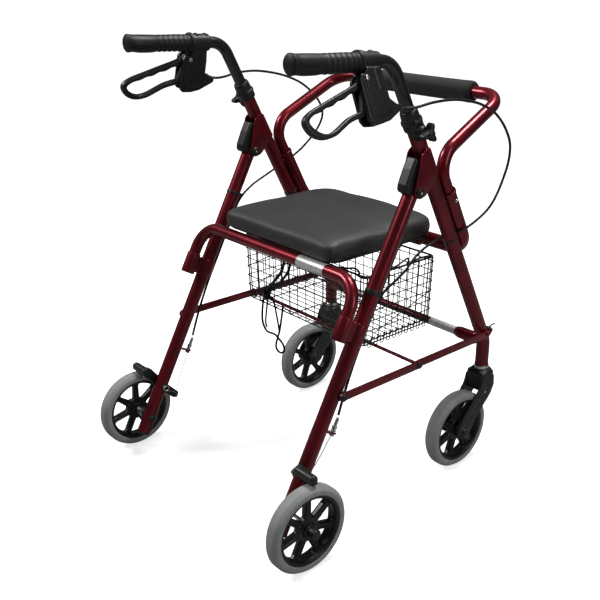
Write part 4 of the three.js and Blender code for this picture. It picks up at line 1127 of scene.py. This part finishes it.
def cushion(low, high):
    """The padded seat. Returns its points and faces, and the height of the fold round its side."""
    base, inset = low[2] + 0.2, 4.5
    half_x = high[0] - inset
    y0, y1 = low[1] + inset, high[1] + 9
    mid_y, crown = (y0 + y1) / 2, 7.0
    back, front = 24.0, 46.0
    # The edges bow outwards a little, the front one most.
    outline = rounded([(-half_x + 2, y0, back), (half_x - 2, y0, back), (half_x + 3, mid_y, 200),
                       (half_x - 1, y1 - 3, front), (0, y1 + 4, 300), (-half_x + 1, y1 - 3, front),
                       (-half_x - 3, mid_y, 200)], back, 8)
    start = level_plate(outline, base + 1.5, high[2] - 4.0, 6.5)
    pad = cloth_pad(start, 4.5)
    p, faces = with_modifiers(pad, ("SMOOTH", {"factor": 0.6, "iterations": 10}))
    # The underside lies flat on the board, and the crown rises towards the middle of the seat.
    u = p[:, 0] / high[0]
    v = (p[:, 1] - mid_y) / ((y1 - y0) / 2 + 5)
    height = np.clip((p[:, 2] - base) / (high[2] - base), 0, 1)
    p[:, 2] += height * crown * (1 - np.clip(u ** 4, 0, 1)) * (1 - np.clip(v ** 4, 0, 1))
    p[:, 2] = np.maximum(p[:, 2], base)
    # A sewn fold runs round the side a fifth of the way up and draws the cover in.
    fold_z = base + (high[2] - base) * 0.2
    side = np.maximum(np.abs(u), np.abs(v))
    pull = np.exp(-((p[:, 2] - fold_z) / 2.2) ** 2) * np.clip((side - 0.8) / 0.12, 0, 1)
    for axis, w in ((0, u), (1, v)):
        p[:, axis] -= np.sign(w) * pull * np.clip((np.abs(w) - 0.75) / 0.2, 0, 1)
    q, faces = with_modifiers((p, faces), ("SUBSURF", {"levels": 1, "render_levels": 1}))
    q[:, 1] = np.maximum(q[:, 1], low[1] + 0.3)
    # Faint creases gather at the corners.
    corner = np.abs(q[:, 0]) / high[0] + np.abs(q[:, 1] - mid_y) / ((high[1] - low[1]) / 2) - 1.35
    for point, weight in zip(q, corner):
        if weight > 0 and point[2] < high[2] - 8:
            ripple = noise.noise(Vector((point[0] * 0.09, point[1] * 0.09, 3.0)))
            point[0] -= math.copysign(weight * 2.2 * max(0.0, ripple), point[0])
    return (q, faces), fold_z


def seat():
    low, high = box("seat_pad")
    pad, fold_z = cushion(low, high)
    piece("seat_pad.cushion", pad, "seat_vinyl", "seat", 80)

    # A narrow welt of the same vinyl sits in the fold.
    tree = BVHTree.FromPolygons([Vector(v) for v in pad[0]], pad[1])
    x1, y0, y1 = high[0], low[1], high[1]
    path = rounded(rect(-x1 - 8, y0 - 8, x1 + 8, y1 + 8), 40, 16)
    path = np.vstack([path, path[:1]])
    span = np.cumsum([0, *np.linalg.norm(np.diff(path, axis=0), axis=1)])
    track = []
    for s in np.arange(220) * span[-1] / 220:
        at = vec(np.interp(s, span, path[:, 0]), np.interp(s, span, path[:, 1]))
        way = unit(np.clip(at, [60 - x1, y0 + 60], [x1 - 60, y1 - 60]) - at)
        hit = tree.ray_cast(Vector((*at, fold_z)), Vector((*way, 0)))[0]
        if hit:
            track.append(vec(*hit) + vec(*way, 0) * 0.3)
    piece("seat_welt", wire(track, 0.9, 8, True), "seat_vinyl", "seat")

    board_low, board_high = low[2] - 0.6, low[2] + 5.4
    outline = rounded(rect(12 - x1, y0 + 18, x1 - 12, y1 - 6), 24, 8)
    parts = [level_plate(outline, board_low, board_high, 1.2)]
    for x in (-95, 95):
        parts.append(band(-14, 14, SOCKET_R + 0.3, SOCKET_R + 3.6, 0.8, at_x(x, FRONT_BAR)))
        parts.append(block((28, 46, 4.6), 1.2, vec(x, FRONT_BAR[1] - 23, board_low + 0.2)))
        parts += [dome(3.4, 1.8, vec(x, FRONT_BAR[1] - back, board_low - 1.0), -Z_AXIS) for back in (38, 24)]
    rib_y = (y0 + y1) / 2 + 12.75
    parts += [block((4, y1 - y0 - 90, 5), 1.0, vec(x, rib_y, board_low - 1.5)) for x in (-60, 0, 60)]
    piece("seat_board.moulding", merge(*parts), "black_plastic", "seat")


def basket():
    """Welded wire: upright ribs, long wires down both ends and under, hoops, a heavy rim and braces."""
    low, high = box("basket")
    wall, thin, thick = 1.6, 0.95, 1.9
    x_top, x_bottom = high[0] - wall, high[0] - 6 - wall
    y0, y1, z0, z1 = low[1] + wall, high[1] - wall, low[2] + 2.2, high[2] - 1.5
    wires, loops = [], []

    def half_at(z):
        return x_bottom + (x_top - x_bottom) * (z - z0) / (z1 - z0)

    def add_bent(corners, radius, rod=thin):
        wires.append(wire(bent(corners, radius, 30), rod))

    uprights = 14
    for k in range(uprights):
        u = -1 + 2 * (k + 0.5) / uprights
        x0, x1 = u * half_at(z0), u * half_at(z1)
        if k % 4 == 1:
            add_bent([(x1, y0, z1), (x0, y0, z0), (x0, y1, z0), (x1, y1, z1)], 5, thin * 1.3)
        else:
            for y, inward in ((y0, 9), (y1, -9)):
                add_bent([(x1, y, z1), (x0, y, z0), (x0, y + inward, z0)], 4)
    long_wires = 11
    for k in range(long_wires):
        y = y0 + (y1 - y0) * (k + 0.5) / long_wires
        x0, x1, z = half_at(z0), half_at(z1), z0 + 2.0
        add_bent([(-x1, y, z1), (-x0, y, z), (x0, y, z), (x1, y, z1)], 5)
        for x in (-x0 - 1.2, x0 + 1.2):  # the loops where the ribs' ends are joined under the bottom hoop
            ring = [(x, y + 7.8 + 3.9 * math.cos(a), z0 - 0.6 + 4.2 * math.sin(a))
                    for a in np.linspace(-math.pi, 0, 10)]
            if k < long_wires - 1:
                loops.append(wire(spline([(x, y + 3.9, z0 + 14), *ring, (x, y + 11.7, z0 + 14)], 2), thin))

    for s in (-1, 1):  # an upright close to each corner
        for y in (y0 + 3.5, y1 - 3.5):
            wires.append(wire([(s * half_at(z0), y, z0), (s * half_at(z1), y, z1)], thin * 1.5))

    def hoop(z, radius, inset=0.0, corner=5):
        x = half_at(z) + inset
        loop = rounded(rect(-x, y0 - inset, x, y1 + inset), corner, 5)
        wires.append(wire([(*p, z) for p in loop], radius, 10, True))

    hoops = 7
    for k in range(hoops):
        hoop(z0 + (z1 - z0) * (k + 0.45) / hoops, thin, thin * 1.3)
    hoop(z1, thick, 0.2, 11)
    hoop(z0 + 0.6, thin * 1.4, -0.4, 11)
    piece("basket.wire", merge(*wires, *loops), "black_wire", "basket", 60)

    # Brace wires slant across the walls, and curled hooks stand on the rim.
    braces = []
    back = y0 - 1.6
    for s in (-1, 1):
        for a, b in (((x_bottom - 4, back, z0 + 66), (60, back, z1 - 10)),
                     ((x_bottom - 40, back, z0 + 30), (30, back, z0 + 4)),
                     ((half_at(z0 + 20) + 1.8, y0 + 25, z0 + 20), (half_at(z0 + 60) + 1.8, y1 - 6, z0 + 64))):
            braces.append(wire(vec(a, b) * vec(s, 1, 1), thin))
        x = x_top + 1.0
        rear_hook = [(100, -1, 1), (122, -2, 5), (140, -2, 10), (151, -2, 9), (153, -1, 3), (147, 0, -1),
                     (x - 8, 1, -3), (x - 2, 14, -2), (x, 40, 1)]
        end_hook = [(x, 40, 1), (x, 70, 4), (x, 88, 9), (x, 98, 12), (x, 102, 7), (x, 98, 2), (x, 112, 4),
                    (x, 140, 5), (x, y1 - y0 - 6, 2)]
        for hook in (rear_hook, end_hook):
            braces.append(wire(spline((vec(*hook) + vec(0, y0, z1)) * vec(s, 1, 1), 6), 1.8, 10))
    piece("basket_braces", merge(*braces), "black_wire", "basket", 60)


def ribbon(path, width, thickness, face):
    """A flat strap along a path; face is the direction its broad side looks."""
    section = [(-1, -0.6), (-0.8, -1), (0.8, -1), (1, -0.6), (1, 0.6), (0.8, 1), (-0.8, 1), (-1, 0.6)]
    rings = []
    for p, t in zip(path, tangents_of(path)):
        way = unit(np.cross(t, face))
        up = unit(np.cross(way, t))
        rings.append(np.array([p + way * a * width / 2 + up * b * thickness / 2 for a, b in section]))
    return ring_grid(rings)


def strap(bar_y, bar_z):
    """A doubled webbing strap from the rear seat bar to a knot, with hanging loops of thin cord below it."""
    knot = vec(-86, -18, 322)
    parts = []
    for dx, width in ((-6.5, 6.0), (6.5, 5.4)):
        way = spline([(33 + dx * 1.4, bar_y + 2, bar_z - BAR_R + 1.5), (8 + dx * 1.2, -50, 398),
                      (-38 + dx * 1.1, -34, 360), knot + vec(dx * 0.6, 0, 4)], 8)
        parts.append(ribbon(way, width, 2.4, -Y_AXIS))
    piece("pull_strap.bands", merge(*parts), "strap_webbing", "rear_frame", 50)
    circle = np.linspace(0, 2 * math.pi, 10, endpoint=False)
    flat = [knot + vec(7 * math.cos(a), 4.5 * math.sin(a), 4.5 * math.sin(2 * a + 0.6)) for a in circle]
    upright = [knot + vec(4.5 * math.sin(a), 5.0 * math.cos(a), 7 * math.cos(a) + 2 * math.sin(2 * a))
               for a in circle]
    lumps = [wire(spline(path, 6, True), r, 12, True) for path, r in ((flat, 3.0), (upright, 2.6))]
    piece("strap_knot", merge(*lumps), "strap_webbing", "rear_frame", 60)
    loop = [knot + vec(-6, -1, -5), (-98, -20, 300), (-102, -20, 268), (-98, -20, 252), (-88, -20, 243),
            (-76, -20, 243), (-64, -19, 243), (-53, -19, 238), (-42, -18, 230), (-38, -18, 220),
            (-43, -18, 212), (-53, -18, 209), (-62, -18, 214), (-61, -19, 226), (-54, -20, 242),
            (-48, -20, 258), (-43, -19, 284), (-40, -18, 306)]
    inner = [knot + vec(-1, 1, -5), (-88, -17, 304), (-93, -17, 276), (-94, -18, 260), (-89, -19, 250)]
    short = [knot + vec(5, 1, -3), (-70, -15, 306), (-63, -16, 288), (-55, -18, 268), (-50, -20, 256)]
    cords = [tube(spline(path, 7), r, 0.4, sides=12) for path, r in ((loop, 2.1), (inner, 1.8), (short, 1.8))]
    piece("strap_tails", merge(*cords), "strap_webbing", "rear_frame", 60)


front_frame()
collar()
knob()
fold_joint()
rear_bar = seat_bars()
backrest()
cross_tube()
rear_legs()
links()
wheels()
forks()
brake_arms()
rear_cables()
upper_cables()
handles()
brake_housings()
brake_levers()
seat()
basket()
strap(*rear_bar)


# ---- floor, light and camera ----
def floor():
    half = 40.0
    mesh = bpy.data.meshes.new("floor")
    mesh.from_pydata([(*p, 0) for p in rect(-half, -half, half, half)], [], [(0, 1, 2, 3)])
    n = Nodes("pale_floor")
    # To the camera only, the floor brightens to white away from the object, as a lit sweep does.
    seen = n.add("ShaderNodeLightPath").outputs["Is Camera Ray"]
    away = n.add("ShaderNodeVectorMath", {0: n.place}, operation="LENGTH").outputs["Value"]
    glow = n.maths("MULTIPLY", seen, n.remap(away, 0.70, 0.97, 0.5, 2.2))
    n.set(Base_Color=n.blend(seen, (0.30, 0.30, 0.30), (0.90, 0.90, 0.895)), Roughness=0.9,
          Specular_IOR_Level=0.05, Emission_Color=(1.0, 1.0, 1.0), Emission_Strength=glow)
    mesh.materials.append(n.material)
    obj = show("floor", mesh)
    obj.location.z = -0.0004


def softbox(name, size, power, at):
    """A rectangular light aimed at the middle of the object."""
    data = bpy.data.lights.new(name, "AREA")
    data.shape = "RECTANGLE"
    data.size, data.size_y = size
    data.energy = power
    obj = show(name, data)
    obj.location = at
    obj.rotation_euler = (Vector((0.0, 0.0, 0.4)) - Vector(at)).to_track_quat("-Z", "Y").to_euler()


def backdrop(seen, given):
    """A white world to the camera that lights the object more gently."""
    world = bpy.data.worlds.new("studio")
    world.use_nodes = True
    tree = world.node_tree
    background = tree.nodes["Background"]
    background.inputs["Color"].default_value = (1, 1, 1, 1)
    path = tree.nodes.new("ShaderNodeLightPath")
    level = tree.nodes.new("ShaderNodeMapRange")
    level.inputs["To Min"].default_value = given
    level.inputs["To Max"].default_value = seen
    tree.links.new(path.outputs["Is Camera Ray"], level.inputs["Value"])
    tree.links.new(level.outputs["Result"], background.inputs["Strength"])
    bpy.context.scene.world = world


def camera():
    data = bpy.data.cameras.new("camera")
    data.lens = 51.39
    data.sensor_width = 36.0
    data.shift_x, data.shift_y = -0.0296, 0.01725
    data.clip_start, data.clip_end = 0.02, 200.0
    obj = show("camera", data)
    yaw, pitch, roll = -0.85543, -0.39041, -0.00557
    look = Vector((math.cos(pitch) * math.sin(yaw), math.cos(pitch) * math.cos(yaw), math.sin(pitch)))
    obj.rotation_mode = "QUATERNION"
    obj.rotation_quaternion = look.to_track_quat("-Z", "Y") @ Matrix.Rotation(roll, 3, "Z").to_quaternion()
    obj.location = (1.1295, -0.9468, 0.9141)
    bpy.context.scene.camera = obj


floor()
backdrop(1.0, 0.10)
softbox("key", (0.8, 0.8), 48, (-1.7, -1.5, 2.4))
softbox("fill", (0.35, 1.8), 16, (2.6, 0.2, 1.5))
softbox("top", (0.8, 0.8), 66, (0.2, 0.8, 2.9))
camera()
bpy.context.scene.view_settings.view_transform = "Standard"
